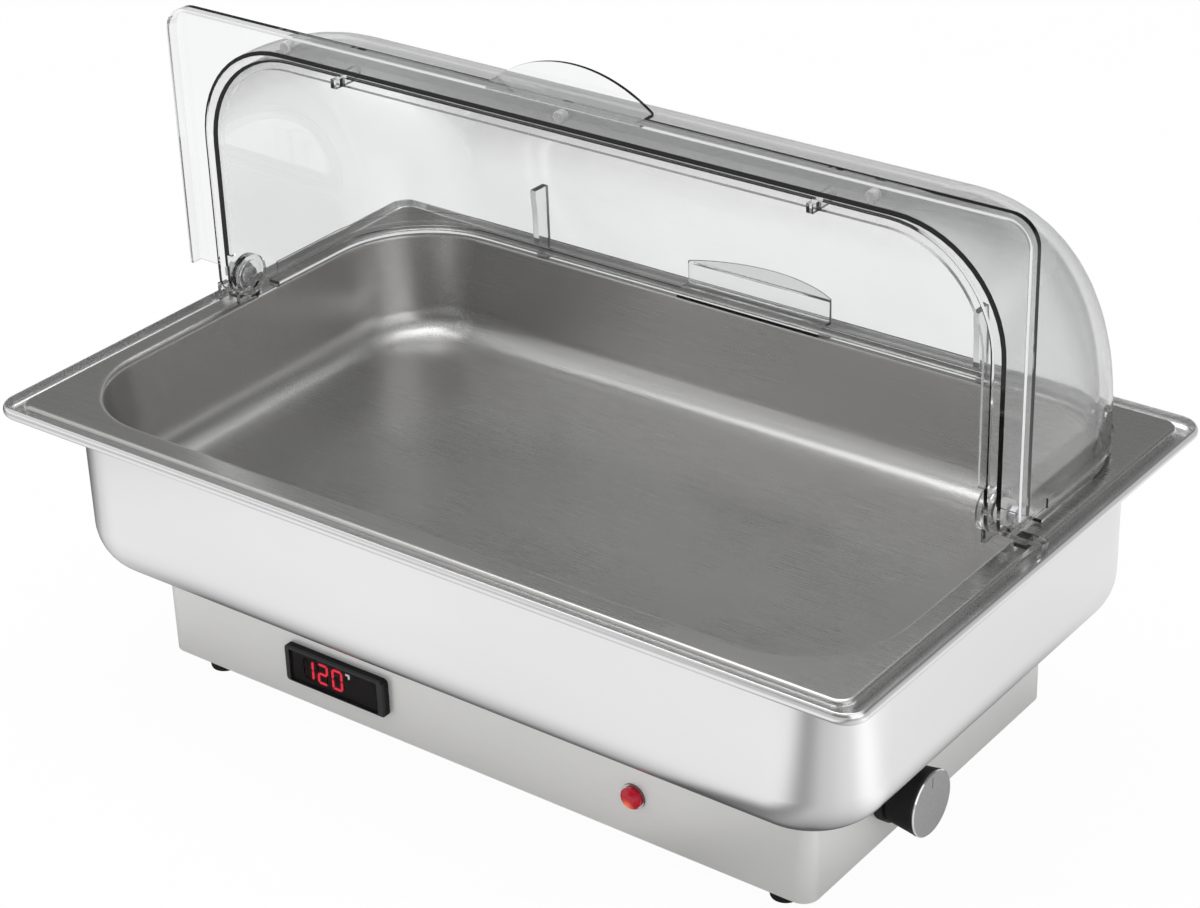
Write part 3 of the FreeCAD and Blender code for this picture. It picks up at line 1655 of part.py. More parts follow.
def side_block(side, start, end, y, width, z, height):
    """A box measured outward from the middle."""
    return block(end - start, width, height, side * (start + end) / 2, y, z)


def side_bore(side, start, length):
    """The clearance hole for the hinge screw."""
    return side_rod(side, hinge_screw_radius + fit_clearance, start, length)


cheek_end = inner_half_length - hood_wall - side_gap
cheek_start = cheek_end - cheek_thickness
boss_start = cheek_start - boss_depth
head_start = cheek_start - hinge_head_height
washer_start = inner_half_length + side_gap
washer_length = outer_half_length - hood_wall - side_gap - washer_start
nut_start = outer_half_length + side_gap
hinge_screw_length = nut_start + nut_height + stud_end / 2 - cheek_start
strap_z = rim_z + strap_rise
strap_end = rim_length / 2 - lip_width - hook_gap
strap_foot_start = pan_body_length / 2 + pan_lip_bend + strap_foot_inset
hook_z = ledge_z + hook_clearance
cross = ((cross_slot_length, cross_slot_width), (cross_slot_width, cross_slot_length))
hinge_screws = []
washers = []
hinge_nuts = []
for side, name in ((-1, "hinge_bracket_left"), (1, "hinge_bracket_right")):
    bracket = join(
        side_rod(side, boss_radius, boss_start, cheek_end - boss_start),
        side_block(side, cheek_start, cheek_end, as_size(0), cheek_width, strap_z, axis_z - strap_z),
        side_block(side, cheek_start, strap_end, strap_y, strap_width, strap_z, strap_thickness),
        side_block(
            side,
            strap_end - strap_thickness,
            strap_end,
            strap_y,
            strap_width,
            hook_z,
            strap_z + strap_thickness - hook_z,
        ),
        side_block(
            side,
            strap_foot_start,
            strap_foot_start + strap_foot_length,
            strap_y,
            strap_width,
            rim_z,
            strap_rise,
        ),
    )
    recess = side_rod(side, boss_recess_radius, boss_start, boss_depth)
    node(name, less(bracket, recess, side_bore(side, boss_start, cheek_end - boss_start)))
    slots = [
        side_block(side, head_start, head_start + cross_slot_depth, 0, y, axis_z - z / 2, z)
        for y, z in cross
    ]
    head = side_rod(side, hinge_head_radius, head_start, hinge_head_height)
    shank = side_rod(side, hinge_screw_radius, cheek_start, hinge_screw_length)
    hinge_screws.append(less(join(head, shank), *slots))
    washer = side_rod(side, washer_radius, washer_start, washer_length)
    washers.append(less(washer, side_bore(side, washer_start, washer_length)))
    hexagon = bind(
        doc.addObject("Part::Prism", "hexagon"), Circumradius=hinge_nut_radius, Height=nut_height
    )
    hexagon.Polygon = 6
    nut_x = nut_start if side > 0 else -nut_start - nut_height
    place(hexagon, nut_x, 0, axis_z, ALONG["x"])
    hinge_nuts.append(less(hexagon, side_bore(side, nut_start, nut_height)))
node("hinge_screws", group(*hinge_screws))
node("hinge_washers", group(*washers))
node("hinge_nuts", group(*hinge_nuts))

doc.recompute()

failed = [thing.Name for thing in doc.Objects if "Invalid" in thing.State or "Error" in thing.State]
if failed:
    raise RuntimeError("these objects failed: " + ", ".join(failed))
for thing in nodes:
    if thing.Shape.isNull() or not thing.Shape.isValid():
        raise RuntimeError(thing.Label + " has no valid shape")

os.makedirs("parts", exist_ok=True)
for thing in nodes:
    thing.Shape.exportStep("parts/" + thing.Label + ".step")
    print(thing.Label, len(thing.Shape.Solids), round(thing.Shape.Volume / 1000, 2))
print(len(nodes), "sub-parts")
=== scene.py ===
import math

import bmesh
import bpy
from mathutils import Matrix, Vector


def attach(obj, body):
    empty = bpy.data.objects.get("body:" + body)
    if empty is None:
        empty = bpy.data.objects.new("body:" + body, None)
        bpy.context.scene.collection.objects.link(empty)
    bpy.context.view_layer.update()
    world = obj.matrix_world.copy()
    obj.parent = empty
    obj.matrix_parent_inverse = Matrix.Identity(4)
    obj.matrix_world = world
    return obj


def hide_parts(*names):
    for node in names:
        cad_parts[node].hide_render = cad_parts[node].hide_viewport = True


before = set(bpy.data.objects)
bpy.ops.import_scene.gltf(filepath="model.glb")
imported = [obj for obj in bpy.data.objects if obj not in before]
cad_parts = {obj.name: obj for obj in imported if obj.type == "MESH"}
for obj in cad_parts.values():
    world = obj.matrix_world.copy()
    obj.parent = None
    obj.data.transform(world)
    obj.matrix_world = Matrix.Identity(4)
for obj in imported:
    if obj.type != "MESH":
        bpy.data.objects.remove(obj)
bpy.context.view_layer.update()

# Studio: a white floor and plain soft light all round, with the camera where the photograph was
# taken from. A large soft lamp hangs overhead and a weaker one stands at each side. Shiny surfaces
# see the room in darker bands, as dark screens round a studio table would show, and see painted
# shade on the floor: a painted shadow near the base and painted light and dark bands round about.
scene = bpy.context.scene
scene.view_settings.view_transform = "Standard"

camera = bpy.data.objects.new("camera", bpy.data.cameras.new("camera"))
camera.location = (0.8448, -1.0839, 0.8864)
camera.rotation_euler = [math.radians(turn) for turn in (61.988, 1.262, 36.0)]
camera.data.sensor_width = 36
camera.data.lens = 87.48
camera.data.shift_x = -0.0399
camera.data.shift_y = -0.0117
camera.data.clip_end = 20
scene.collection.objects.link(camera)
scene.camera = camera


def wire(tree, start, end):
    """Joins an output socket to an input socket."""
    tree.links.new(start, end)


def add_node(tree, kind, inputs=(), **settings):
    """A new node with its settings, and inputs that are set to a value or wired to a socket."""
    node = tree.nodes.new(kind)
    for setting, value in settings.items():
        setattr(node, setting, value)
    for socket, value in dict(inputs).items():
        if isinstance(value, bpy.types.NodeSocket):
            wire(tree, value, node.inputs[socket])
        else:
            node.inputs[socket].default_value = value
    return node


def calculate(tree, operation, *values, clamp=False):
    """A number worked out from sockets or values."""
    settings = {"operation": operation, "use_clamp": clamp}
    return add_node(tree, "ShaderNodeMath", enumerate(values), **settings).outputs[0]


def calculate_vector(tree, operation, *values, result="Vector"):
    """A vector, or a number about vectors, worked out from sockets or values."""
    node = add_node(tree, "ShaderNodeVectorMath", enumerate(values), operation=operation)
    return node.outputs[result]


def spread(tree, value, low, high, **settings):
    """A share that goes from 0 to 1 while a value goes from low to high."""
    inputs = {"Value": value, "From Min": low, "From Max": high}
    return add_node(tree, "ShaderNodeMapRange", inputs, **settings).outputs[0]


def object_place(tree):
    """The place of a point of the surface, in metres."""
    return add_node(tree, "ShaderNodeTexCoord").outputs["Object"]


def colour(tone):
    """A full colour from a grey tone, or from red, green and blue."""
    return (tone, tone, tone, 1) if isinstance(tone, (int, float)) else (*tone, 1)


def ramp(tree, value, stops, change="LINEAR"):
    """The grey tone that a value picks from stops in rising order."""
    node = add_node(tree, "ShaderNodeValToRGB", {0: value})
    node.color_ramp.interpolation = change
    elements = node.color_ramp.elements
    for position, tone in stops[1:-1]:
        elements.new(position)
    for element, (position, tone) in zip(elements, stops):
        element.position = position
        element.color = colour(tone)
    return node.outputs[0]


def shader_of(tree, kind, tint):
    """A plain shader with a colour or a wired tint."""
    return add_node(tree, "ShaderNode" + kind, {"Color": tint}).outputs[0]


def mixed(tree, share, first, second):
    """Two shaders mixed by a share of the second."""
    return add_node(tree, "ShaderNodeMixShader", enumerate((share, first, second))).outputs[0]


def ray_share(tree, *kinds):
    """A factor that is 1 for rays of any of these kinds."""
    path = add_node(tree, "ShaderNodeLightPath").outputs
    total = path[kinds[0]]
    for kind in kinds[1:]:
        total = calculate(tree, "MAXIMUM", total, path[kind])
    return total


def mirror_share(tree, thin_walls=2.5, lost_in_edge=-0.6):
    """A factor that is 1 for what a mirror shows, and less inside the edge of clear plastic."""
    path = add_node(tree, "ShaderNodeLightPath").outputs
    in_mirror = calculate(tree, "MINIMUM", path["Glossy Depth"], 1)
    shallow = calculate(tree, "LESS_THAN", path["Transmission Depth"], thin_walls)
    in_edge = calculate(tree, "MULTIPLY", shallow, path["Is Transmission Ray"])
    kept = calculate(tree, "MULTIPLY_ADD", in_edge, lost_in_edge, 1)
    return calculate(tree, "MULTIPLY", in_mirror, kept)


def clear_share(tree):
    """A factor that is 1 for what is seen straight or through clear plastic, not in a mirror."""
    in_view = ray_share(tree, "Is Camera Ray", "Is Transmission Ray")
    return calculate(tree, "SUBTRACT", in_view, mirror_share(tree), clamp=True)


def lamp(name, place, size, watts, target=(0, 0, 0.1)):
    """A soft square lamp that looks at the object."""
    light = bpy.data.lights.new(name, "AREA")
    light.shape = "SQUARE"
    light.size = size
    light.energy = watts
    thing = bpy.data.objects.new(name, light)
    thing.location = place
    thing.rotation_euler = (Vector(target) - Vector(place)).to_track_quat("-Z", "Y").to_euler()
    scene.collection.objects.link(thing)


lamp("overhead", (-0.3, 0.2, 2.2), size=1.6, watts=18)
lamp("left", (-1.8, -1.4, 1.3), size=2.4, watts=9)
lamp("right", (2.0, -0.6, 1.0), size=1.8, watts=9)

# The room: white to the eye, an even grey to matt surfaces, and in bands by height to shiny ones.
ROOM_BANDS = ((0, 0.62), (0.12, 0.55), (0.34, 0.16), (0.62, 0.2), (0.85, 0.8), (1, 0.9))
world = bpy.data.worlds.new("studio")
scene.world = world
world.use_nodes = True
sky = world.node_tree
sky.nodes.clear()
direction = add_node(sky, "ShaderNodeTexCoord").outputs["Generated"]
height = add_node(sky, "ShaderNodeSeparateXYZ", {0: direction}).outputs["Z"]
soft = shader_of(sky, "Background", colour(0.62))
banded = shader_of(sky, "Background", ramp(sky, height, ROOM_BANDS, "EASE"))
plain = shader_of(sky, "Background", colour(1))
glossy = mixed(sky, mirror_share(sky), soft, banded)
seen = mixed(sky, clear_share(sky), glossy, plain)
add_node(sky, "ShaderNodeOutputWorld", {0: seen})

# The floor: near white to the eye. Shiny surfaces see painted shade on it: a painted shadow, dark
# close to the base and lightest about 0.2 m from it, times painted light and dark bands that change
# with the bearing from the object's middle.
FLOOR_HALF = 6
SHARE_FOR_METAL, SHARE_FOR_EYE = 0.9, 0.965
BASE_HALF = (0.2155, 0.1165, 0)
# Painted shadow for shiny surfaces only: the floor's tone by distance from the base.
PAINTED_SHADOW_NEAR_BASE = ((0, 0.1), (0.009, 0.31), (0.034, 0.53), (0.062, 0.73), (0.1, 0.88))
PAINTED_SHADOW_NEAR_BASE += ((0.153, 0.91), (0.2, 0.98), (0.27, 0.96), (0.45, 0.62), (1, 0.55))
# Painted light and dark bands for shiny surfaces only, by bearing round the object.
PAINTED_BANDS_BY_BEARING = ((0, 0.06), (0.02, 0.1), (0.045, 0.38), (0.065, 0.75), (0.1, 0.95), (0.165, 0.99))
PAINTED_BANDS_BY_BEARING += ((0.22, 0.95), (0.342, 0.98), (0.374, 0.28), (0.404, 0.64), (0.437, 0.8))
PAINTED_BANDS_BY_BEARING += ((0.47, 1.22), (0.505, 0.96), (0.6, 0.9), (0.9, 0.95), (0.97, 0.1), (1, 0.06))
corners = [(x * FLOOR_HALF, y * FLOOR_HALF, 0) for x, y in ((-1, -1), (1, -1), (1, 1), (-1, 1))]
floor_mesh = bpy.data.meshes.new("floor")
floor_mesh.from_pydata(corners, [], [(0, 1, 2, 3)])
floor = bpy.data.objects.new("floor", floor_mesh)
scene.collection.objects.link(floor)
floor_paint = bpy.data.materials.new("floor_white")
floor_paint.use_nodes = True
paint = floor_paint.node_tree
paint.nodes.clear()
spot = object_place(paint)
past = calculate_vector(paint, "SUBTRACT", calculate_vector(paint, "ABSOLUTE", spot), BASE_HALF)
outside = calculate_vector(paint, "MAXIMUM", past, (0, 0, 0))
away = calculate_vector(paint, "LENGTH", outside, result="Value")
sides = add_node(paint, "ShaderNodeSeparateXYZ", {0: spot}).outputs
bearing = calculate(paint, "ARCTAN2", sides["Y"], sides["X"])
round_about = spread(paint, bearing, -math.pi, math.pi)
painted_bands = ramp(paint, round_about, PAINTED_BANDS_BY_BEARING, "EASE")
# The painted shade that shiny surfaces see on the floor: painted shadow times painted bands.
painted_mirror_shade = calculate_vector(paint, "MULTIPLY", ramp(paint, away, PAINTED_SHADOW_NEAR_BASE), painted_bands)
matt = shader_of(paint, "BsdfDiffuse", colour(0.9))
painted_shade_for_metal = shader_of(paint, "Emission", painted_mirror_shade)
glow = shader_of(paint, "Emission", colour(1))
metal_share = calculate(paint, "MULTIPLY", mirror_share(paint), SHARE_FOR_METAL)
for_metal = mixed(paint, metal_share, matt, painted_shade_for_metal)
eye_share = calculate(paint, "MULTIPLY", clear_share(paint), SHARE_FOR_EYE)
for_eye = mixed(paint, eye_share, for_metal, glow)
add_node(paint, "ShaderNodeOutputMaterial", {0: for_eye})
floor.data.materials.append(floor_paint)

# Water tub: one deep-drawn stainless sheet, satin outside, with round corners and a round bottom
# bend. Its top edge steps out to a ledge for the food pan and ends in an upright lip, which is
# rounded outward.
MM = 0.001


def piece_of(name, points, faces):
    """A new piece from points in millimetres."""
    mesh = bpy.data.meshes.new(name)
    mesh.from_pydata([[c * MM for c in p] for p in points], [], faces)
    piece = bpy.data.objects.new(name, mesh)
    scene.collection.objects.link(piece)
    return piece


def grown(outline, amount):
    """A round-cornered outline with all its sides moved outward."""
    half_x, half_y, corner = outline
    return half_x + amount, half_y + amount, corner + amount


def ring(outline, z, steps=14):
    """Points round an outline at one height, anticlockwise from above."""
    half_x, half_y, corner = outline
    points = []
    for quarter, (side_x, side_y) in enumerate(((1, 1), (-1, 1), (-1, -1), (1, -1))):
        for step in range(steps + 1):
            turn = math.radians(90 * (quarter + step / steps))
            x = side_x * (half_x - corner) + corner * math.cos(turn)
            y = side_y * (half_y - corner) + corner * math.sin(turn)
            points.append((x, y, z))
    return points


def bend(outline, inset, z, radius, start, end, steps=8):
    """Rings round a bend, whose centre lies inset from the outline at a height."""
    rings = []
    for step in range(steps + 1):
        turn = math.radians(start + (end - start) * step / steps)
        rings.append(
            ring(grown(outline, radius * math.cos(turn) - inset), z + radius * math.sin(turn))
        )
    return rings


def skin(rings, closed=False):
    """Points and quads between rings of equal length, capped at both ends unless closed."""
    count = len(rings[0])
    points = [p for one in rings for p in one]
    faces = []
    last = len(rings) if closed else len(rings) - 1
    for level in range(last):
        low, high = level * count, (level + 1) % len(rings) * count
        for i in range(count):
            j = (i + 1) % count
            faces.append((low + i, low + j, high + j, high + i))
    if not closed:
        faces.append(tuple(reversed(range(count))))
        faces.append(tuple(range(last * count, last * count + count)))
    return points, faces


def soften(piece, degrees=32):
    """Smooth faces with hard edges where they meet at more than an angle; flats stay flat."""
    piece.data.shade_smooth()
    piece.data.set_sharp_from_angle(angle=math.radians(degrees))
    weighted = piece.modifiers.new("flats", "WEIGHTED_NORMAL")
    weighted.keep_sharp = True
    return piece


def new_tree(kind, name, inputs, outputs):
    """An empty node group with named sockets, the sockets it is given, and its end node."""
    group = bpy.data.node_groups.new(name, kind)
    for way, sockets in (("INPUT", inputs), ("OUTPUT", outputs)):
        for socket, sort in sockets:
            group.interface.new_socket(socket, in_out=way, socket_type="NodeSocket" + sort)
    return group, group.nodes.new("NodeGroupInput").outputs, group.nodes.new("NodeGroupOutput")


def look_group(name, *own):
    """An empty shader group for a finish: two tones, two roughnesses, a bump depth and its own."""
    inputs = [("Light", "Color"), ("Dark", "Color"), *own]
    inputs += [("Smooth", "Float"), ("Rough", "Float"), ("Depth", "Float")]
    outputs = [("Color", "Color"), ("Roughness", "Float"), ("Normal", "Vector")]
    return new_tree("ShaderNodeTree", name, inputs, outputs)


def colour_mix(tree, share, first, second):
    """Two colours mixed by a share of the second."""
    inputs = {"Factor": share, "A": first, "B": second}
    return add_node(tree, "ShaderNodeMix", inputs, data_type="RGBA").outputs["Result"]


def end_look(group, given, result, share, height):
    """Ends a finish: a share picks its tone and its roughness, and a height makes its bump."""
    limits = {"Value": share, "To Min": given["Smooth"], "To Max": given["Rough"]}
    bump = {"Height": height, "Distance": given["Depth"]}
    for end, value in (
        ("Color", colour_mix(group, share, given["Light"], given["Dark"])),
        ("Roughness", add_node(group, "ShaderNodeMapRange", limits).outputs[0]),
        ("Normal", add_node(group, "ShaderNodeBump", bump).outputs[0]),
    ):
        wire(group, value, result.inputs[end])


def noise(tree, place, scale, detail):
    """A noise pattern over places."""
    inputs = {"Vector": place, "Scale": scale, "Detail": detail}
    return add_node(tree, "ShaderNodeTexNoise", inputs).outputs["Fac"]


# The grain of rolled sheet: fine lines along one direction, with slow cloudy changes of gloss.
LINE_SHARE, CLOUD_SHARE = 0.55, 0.45
grain_group, given, result = look_group("rolled_sheet_grain", ("Stretch", "Vector"))
where = object_place(grain_group)
stretched = calculate_vector(grain_group, "MULTIPLY", where, given["Stretch"])
lines = noise(grain_group, stretched, scale=1, detail=4)
cloud = noise(grain_group, where, scale=9, detail=3)
cloud = calculate(grain_group, "MULTIPLY", cloud, CLOUD_SHARE)
both = calculate(grain_group, "MULTIPLY_ADD", lines, LINE_SHARE, cloud)
end_look(grain_group, given, result, spread(grain_group, both, 0.36, 0.64), lines)


def finished(name, group, own, light, dark, rough, depth, **sockets):
    """A material whose colour, roughness and normal come from a group; the rest is set plainly."""
    material = bpy.data.materials.new(name)
    material.use_nodes = True
    tree = material.node_tree
    shader = tree.nodes["Principled BSDF"]
    own = {**own, "Light": colour(light), "Dark": colour(dark), "Depth": depth}
    own["Smooth"], own["Rough"] = rough
    look = add_node(tree, "ShaderNodeGroup", own, node_tree=group)
    for start, end in (("Color", "Base Color"), ("Roughness", "Roughness"), ("Normal", "Normal")):
        wire(tree, look.outputs[start], shader.inputs[end])
    for socket, value in sockets.items():
        shader.inputs[socket.replace("_", " ")].default_value = value
    return material


def sheet_metal(name, stretch, metallic=1, **look):
    """A metal with a rolled grain; its stretch says how fine the grain is along each axis."""
    return finished(name, grain_group, {"Stretch": stretch}, Metallic=metallic, **look)


def dress(material, *nodes):
    """Puts a material on nodes of the CAD model."""
    for node in nodes:
        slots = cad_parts[node].data.materials
        slots.clear()
        slots.append(material)


tub_steel = sheet_metal(
    "satin_drawn_steel",
    light=(0.90, 0.90, 0.905),
    dark=(0.89, 0.89, 0.895),
    stretch=(25, 3600, 3600),
    rough=(0.21, 0.25),
    depth=0.0000007,
)
tub_body = (255, 151, 44)
rim_edge = (275, 171, 13)
lip_inside = (273.2, 169.2, 11.2)
tub_inside = (254.2, 150.2, 43.2)
# The outside from the bottom up, over the rounded lip, and down the inside.
tub_rings = bend(tub_body, 30, 97.5, 30, -90, 0, 14)
tub_rings += bend(tub_body, -1.6, 165.1, 1.6, 180, 90, 5)
tub_rings += bend(rim_edge, 4.13, 169.85, 4.13, -48, 48, 12)
tub_rings += [ring(grown(lip_inside, 0.2), 173)]
tub_rings += bend(lip_inside, -0.3, 172.6, 0.3, 120, 180, 2)
tub_rings += bend(lip_inside, 2.4, 169.9, 2.4, 0, -90, 6)
tub_rings += bend(tub_inside, -1.2, 166.3, 1.2, 90, 180, 4)
tub_rings += bend(tub_inside, 29.2, 97.5, 29.2, 0, -90, 14)
tub = soften(piece_of("tub_shell", *skin(tub_rings)))
tub.data.materials.append(tub_steel)
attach(tub, "heater")
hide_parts("water_tub")

# Food pan: a full-size pan pressed from stainless sheet. Its wide flange has a rounded edge turned
# down to stand in the tub's ledge, and its deep body has big corners and a soft bottom bend.
pan_steel = sheet_metal(
    "pressed_pan_steel",
    light=(0.60, 0.595, 0.585),
    dark=(0.575, 0.57, 0.56),
    stretch=(20, 2600, 2600),
    rough=(0.26, 0.31),
    depth=0.000001,
)
pan_edge = (265, 162.5, 9)
pan_wall = (251, 146.5, 59)
pan_floor = (246, 141.5, 54)
# The outside from the bottom up, under the flange to its edge, then back over it and down inside.
pan_rings = bend(pan_floor, 20, 128, 20, -90, -4, 10)
pan_rings += bend(pan_wall, -3.2, 169, 3.2, 178, 90, 5)
pan_rings += bend(grown(pan_edge, -0.8), 1.7, 170.5, 1.7, 90, 0, 5)
pan_rings += [ring(grown(pan_edge, -0.8), 167.7), ring(grown(pan_edge, -0.6), 167.5)]
pan_rings += [ring(grown(pan_edge, -0.2), 167.5), ring(pan_edge, 167.7)]
pan_rings += bend(pan_edge, 2.5, 170.5, 2.5, 0, 90, 7)
pan_rings += bend(grown(pan_wall, -0.8), -4, 169, 4, 90, 178, 7)
pan_rings += bend(grown(pan_floor, -0.8), 19.2, 128, 19.2, -4, -90, 10)
pan = soften(piece_of("pan_shell", *skin(pan_rings)))
pan.data.materials.append(pan_steel)
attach(pan, "food_pan")
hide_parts("food_pan")

# Base housing: a band of sheet steel folded round four small corners, with turned-in flanges at
# the top and the bottom. A plate with vent slots closes it below.
base_steel = sheet_metal(
    "matt_folded_steel",
    light=(0.86, 0.855, 0.845),
    dark=(0.83, 0.825, 0.815),
    stretch=(50, 2400, 2400),
    rough=(0.3, 0.36),
    depth=0.000001,
    metallic=0.42,
)
# Painted shade: in mirrors the base shows as a dark matt grey instead of its steel, standing in for
# the shade under the tub's overhang.
tree = base_steel.node_tree
metal = tree.nodes["Principled BSDF"].outputs[0]
painted_shade_grey = shader_of(tree, "BsdfDiffuse", colour(0.22))
painted_shade_in_mirrors = mixed(tree, mirror_share(tree), metal, painted_shade_grey)
wire(tree, painted_shade_in_mirrors, tree.nodes["Material Output"].inputs["Surface"])
dress(base_steel, "base_housing", "bottom_plate")

# Screws, studs and nuts: zinc-plated steel, bought in. The screws have a domed head with a cross
# recess. One recipe makes a screw and sets it out at each place of a row.
zinc_steel = sheet_metal(
    "zinc_plated_steel",
    light=(0.72, 0.72, 0.74),
    dark=(0.56, 0.56, 0.58),
    stretch=(900, 900, 900),
    rough=(0.22, 0.4),
    depth=0.00002,
)
dress(zinc_steel, "tub_studs", "tub_nuts", "foot_nuts", "clamp_nuts", "heater_studs")
dress(zinc_steel, "shield_nuts", "cutout_screws", "thermostat_screws", "inlet_nuts")
dress(zinc_steel, "terminal_screws", "earth_stud", "earth_nut", "hinge_nuts", "thermostat_shaft")


def new_recipe(name, inputs):
    """An empty Geometry Nodes tree that takes places and named inputs and gives a shape."""
    shape = ("Geometry", "Geometry")
    return new_tree("GeometryNodeTree", name, (shape, *inputs), (shape,))


def settle(piece):
    """Makes a piece the plain mesh that its modifiers show."""
    bpy.context.view_layer.update()
    graph = bpy.context.evaluated_depsgraph_get()
    mesh = bpy.data.meshes.new_from_object(piece.evaluated_get(graph))
    piece.modifiers.clear()
    piece.data = mesh
    return piece


def made_by(recipe, name, places, turns, values):
    """The plain piece that a recipe makes at places, each with a turn of its own."""
    piece = piece_of(name, places, [])
    facing = piece.data.attributes.new("turn", "FLOAT_VECTOR", "POINT")
    for number, turn in enumerate(turns):
        facing.data[number].vector = turn
    step = piece.modifiers.new("recipe", "NODES")
    step.node_group = recipe
    for item in recipe.interface.items_tree:
        if item.in_out == "INPUT" and item.name in values:
            step[item.identifier] = values[item.name]
    return settle(piece)


def raised(tree, shape, height):
    """A shape of a recipe, moved up."""
    up = add_node(tree, "ShaderNodeCombineXYZ", {"Z": height}).outputs[0]
    inputs = {"Geometry": shape, "Translation": up}
    return add_node(tree, "GeometryNodeTransform", inputs).outputs[0]


def combined(tree, operation, first, *others):
    """Shapes of a recipe joined, or the first with the others cut away."""
    main = "Mesh 1" if operation == "DIFFERENCE" else "Mesh 2"
    inputs = {"Self Intersection": True, main: first}
    settings = {"operation": operation, "solver": "EXACT"}
    node = add_node(tree, "GeometryNodeMeshBoolean", inputs, **settings)
    for other in others:
        wire(tree, other, node.inputs["Mesh 2"])
    return node.outputs["Mesh"]


def set_out(tree, shape, given, result):
    """Instances of a shape at the places that a recipe is given, realised and dressed."""
    attribute = {"data_type": "FLOAT_VECTOR"}
    facing = add_node(tree, "GeometryNodeInputNamedAttribute", {"Name": "turn"}, **attribute)
    inputs = {"Points": given["Geometry"], "Instance": shape}
    inputs["Rotation"] = facing.outputs["Attribute"]
    copies = add_node(tree, "GeometryNodeInstanceOnPoints", inputs)
    real = add_node(tree, "GeometryNodeRealizeInstances", {0: copies.outputs[0]})
    inputs = {"Geometry": real.outputs[0], "Material": given["Material"]}
    dressed = add_node(tree, "GeometryNodeSetMaterial", inputs)
    wire(tree, dressed.outputs[0], result.inputs["Geometry"])


SCREW_SIZES = ("Head Radius", "Head Height", "Dome", "Shank Radius", "Shank Length")
SCREW_SIZES += ("Slot Length", "Slot Width", "Slot Depth")
HEAD_OVERLAP = 0.0003
screw_recipe, given, result = new_recipe(
    "cross_head_screw", [*((size, "Float") for size in SCREW_SIZES), ("Material", "Material")]
)
tree = screw_recipe
inputs = {"Vertices": 32, "Side Segments": 2, "Fill Segments": 4}
inputs.update({"Radius": given["Head Radius"], "Depth": given["Head Height"]})
head = add_node(tree, "GeometryNodeMeshCylinder", inputs).outputs["Mesh"]
raised_head = raised(tree, head, calculate(tree, "MULTIPLY", given["Head Height"], 0.5))
spot = add_node(tree, "GeometryNodeInputPosition").outputs[0]
parts = add_node(tree, "ShaderNodeSeparateXYZ", {0: spot}).outputs
outward = calculate(tree, "ADD", *(calculate(tree, "POWER", parts[axis], 2) for axis in "XY"))
full = calculate(tree, "POWER", given["Head Radius"], 2)
share = calculate(tree, "DIVIDE", outward, full)
up_share = calculate(tree, "DIVIDE", parts["Z"], given["Head Height"])
drop = calculate(tree, "MULTIPLY", share, given["Dome"])
drop = calculate(tree, "MULTIPLY", drop, up_share)
drop = calculate(tree, "MULTIPLY", drop, -1)
offset = add_node(tree, "ShaderNodeCombineXYZ", {"Z": drop}).outputs[0]
inputs = {"Geometry": raised_head, "Offset": offset}
dome = add_node(tree, "GeometryNodeSetPosition", inputs).outputs[0]
inputs = {"Vertices": 23, "Radius": given["Shank Radius"], "Depth": given["Shank Length"]}
shank = add_node(tree, "GeometryNodeMeshCylinder", inputs).outputs["Mesh"]
half_shank = calculate(tree, "MULTIPLY", given["Shank Length"], -0.5)
shank_low = raised(tree, shank, calculate(tree, "ADD", half_shank, HEAD_OVERLAP))
whole = combined(tree, "UNION", dome, shank_low)
slots = []
for first, second in (("Slot Length", "Slot Width"), ("Slot Width", "Slot Length")):
    twice = calculate(tree, "MULTIPLY", given["Slot Depth"], 2)
    inputs = {"X": given[first], "Y": given[second], "Z": twice}
    size = add_node(tree, "ShaderNodeCombineXYZ", inputs).outputs[0]
    block = add_node(tree, "GeometryNodeMeshCube", {"Size": size}).outputs["Mesh"]
    slots.append(raised(tree, block, given["Head Height"]))
set_out(tree, combined(tree, "DIFFERENCE", whole, *slots), given, result)

# Where the screws sit: two groups below the bottom plate, and two beside the mains inlet.
pan_head = {
    "Head Radius": 0.0036,
    "Head Height": 0.0024,
    "Dome": 0.0008,
    "Shank Radius": 0.002,
    "Slot Length": 0.0038,
    "Slot Width": 0.0008,
    "Slot Depth": 0.0011,
    "Material": zinc_steel,
}
FOOT_PLACES = [(x, y) for x in (-191, 191) for y in (-100, 100)]
DOWN = (math.pi, 0.0, 0.3)
BACKWARD = (-math.pi / 2, 0.0, 0.0)
for node, places, turn, length in (
    (
        "plate_screws",
        [(x, y, 11.2) for x in (-110, 110) for y in (-110.1, 110.1)]
        + [(x, 0, 11.2) for x in (-209.1, 209.1)],
        DOWN,
        0.008,
    ),
    ("foot_screws", [(x, y, 7.2) for x, y in FOOT_PLACES], DOWN, 0.009),
    ("inlet_screws", [(110, 119, 36), (150, 119, 36)], BACKWARD, 0.0085),
):
    screws = made_by(
        screw_recipe,
        node + "_cross",
        places,
        [turn] * len(places),
        {**pan_head, "Shank Length": length},
    )
    soften(screws, 35)
    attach(screws, "heater")
    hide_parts(node)

# Rubber feet: moulded black rubber, tapered, with a groove round the middle. Each stands under a
# corner of the bottom plate and is held by a screw in its well.
mould_group, given, result = look_group("moulded_grain", ("Fineness", "Float"))
where = object_place(mould_group)
fine = noise(mould_group, where, scale=given["Fineness"], detail=3)
patch = noise(mould_group, where, scale=70, detail=4)
both = calculate(mould_group, "ADD", fine, patch)
end_look(mould_group, given, result, spread(mould_group, both, 0.75, 1.25), fine)


def moulded(name, fineness, **look):
    """A moulded, glazed or painted material with a fine even grain."""
    return finished(name, mould_group, {"Fineness": fineness}, **look)


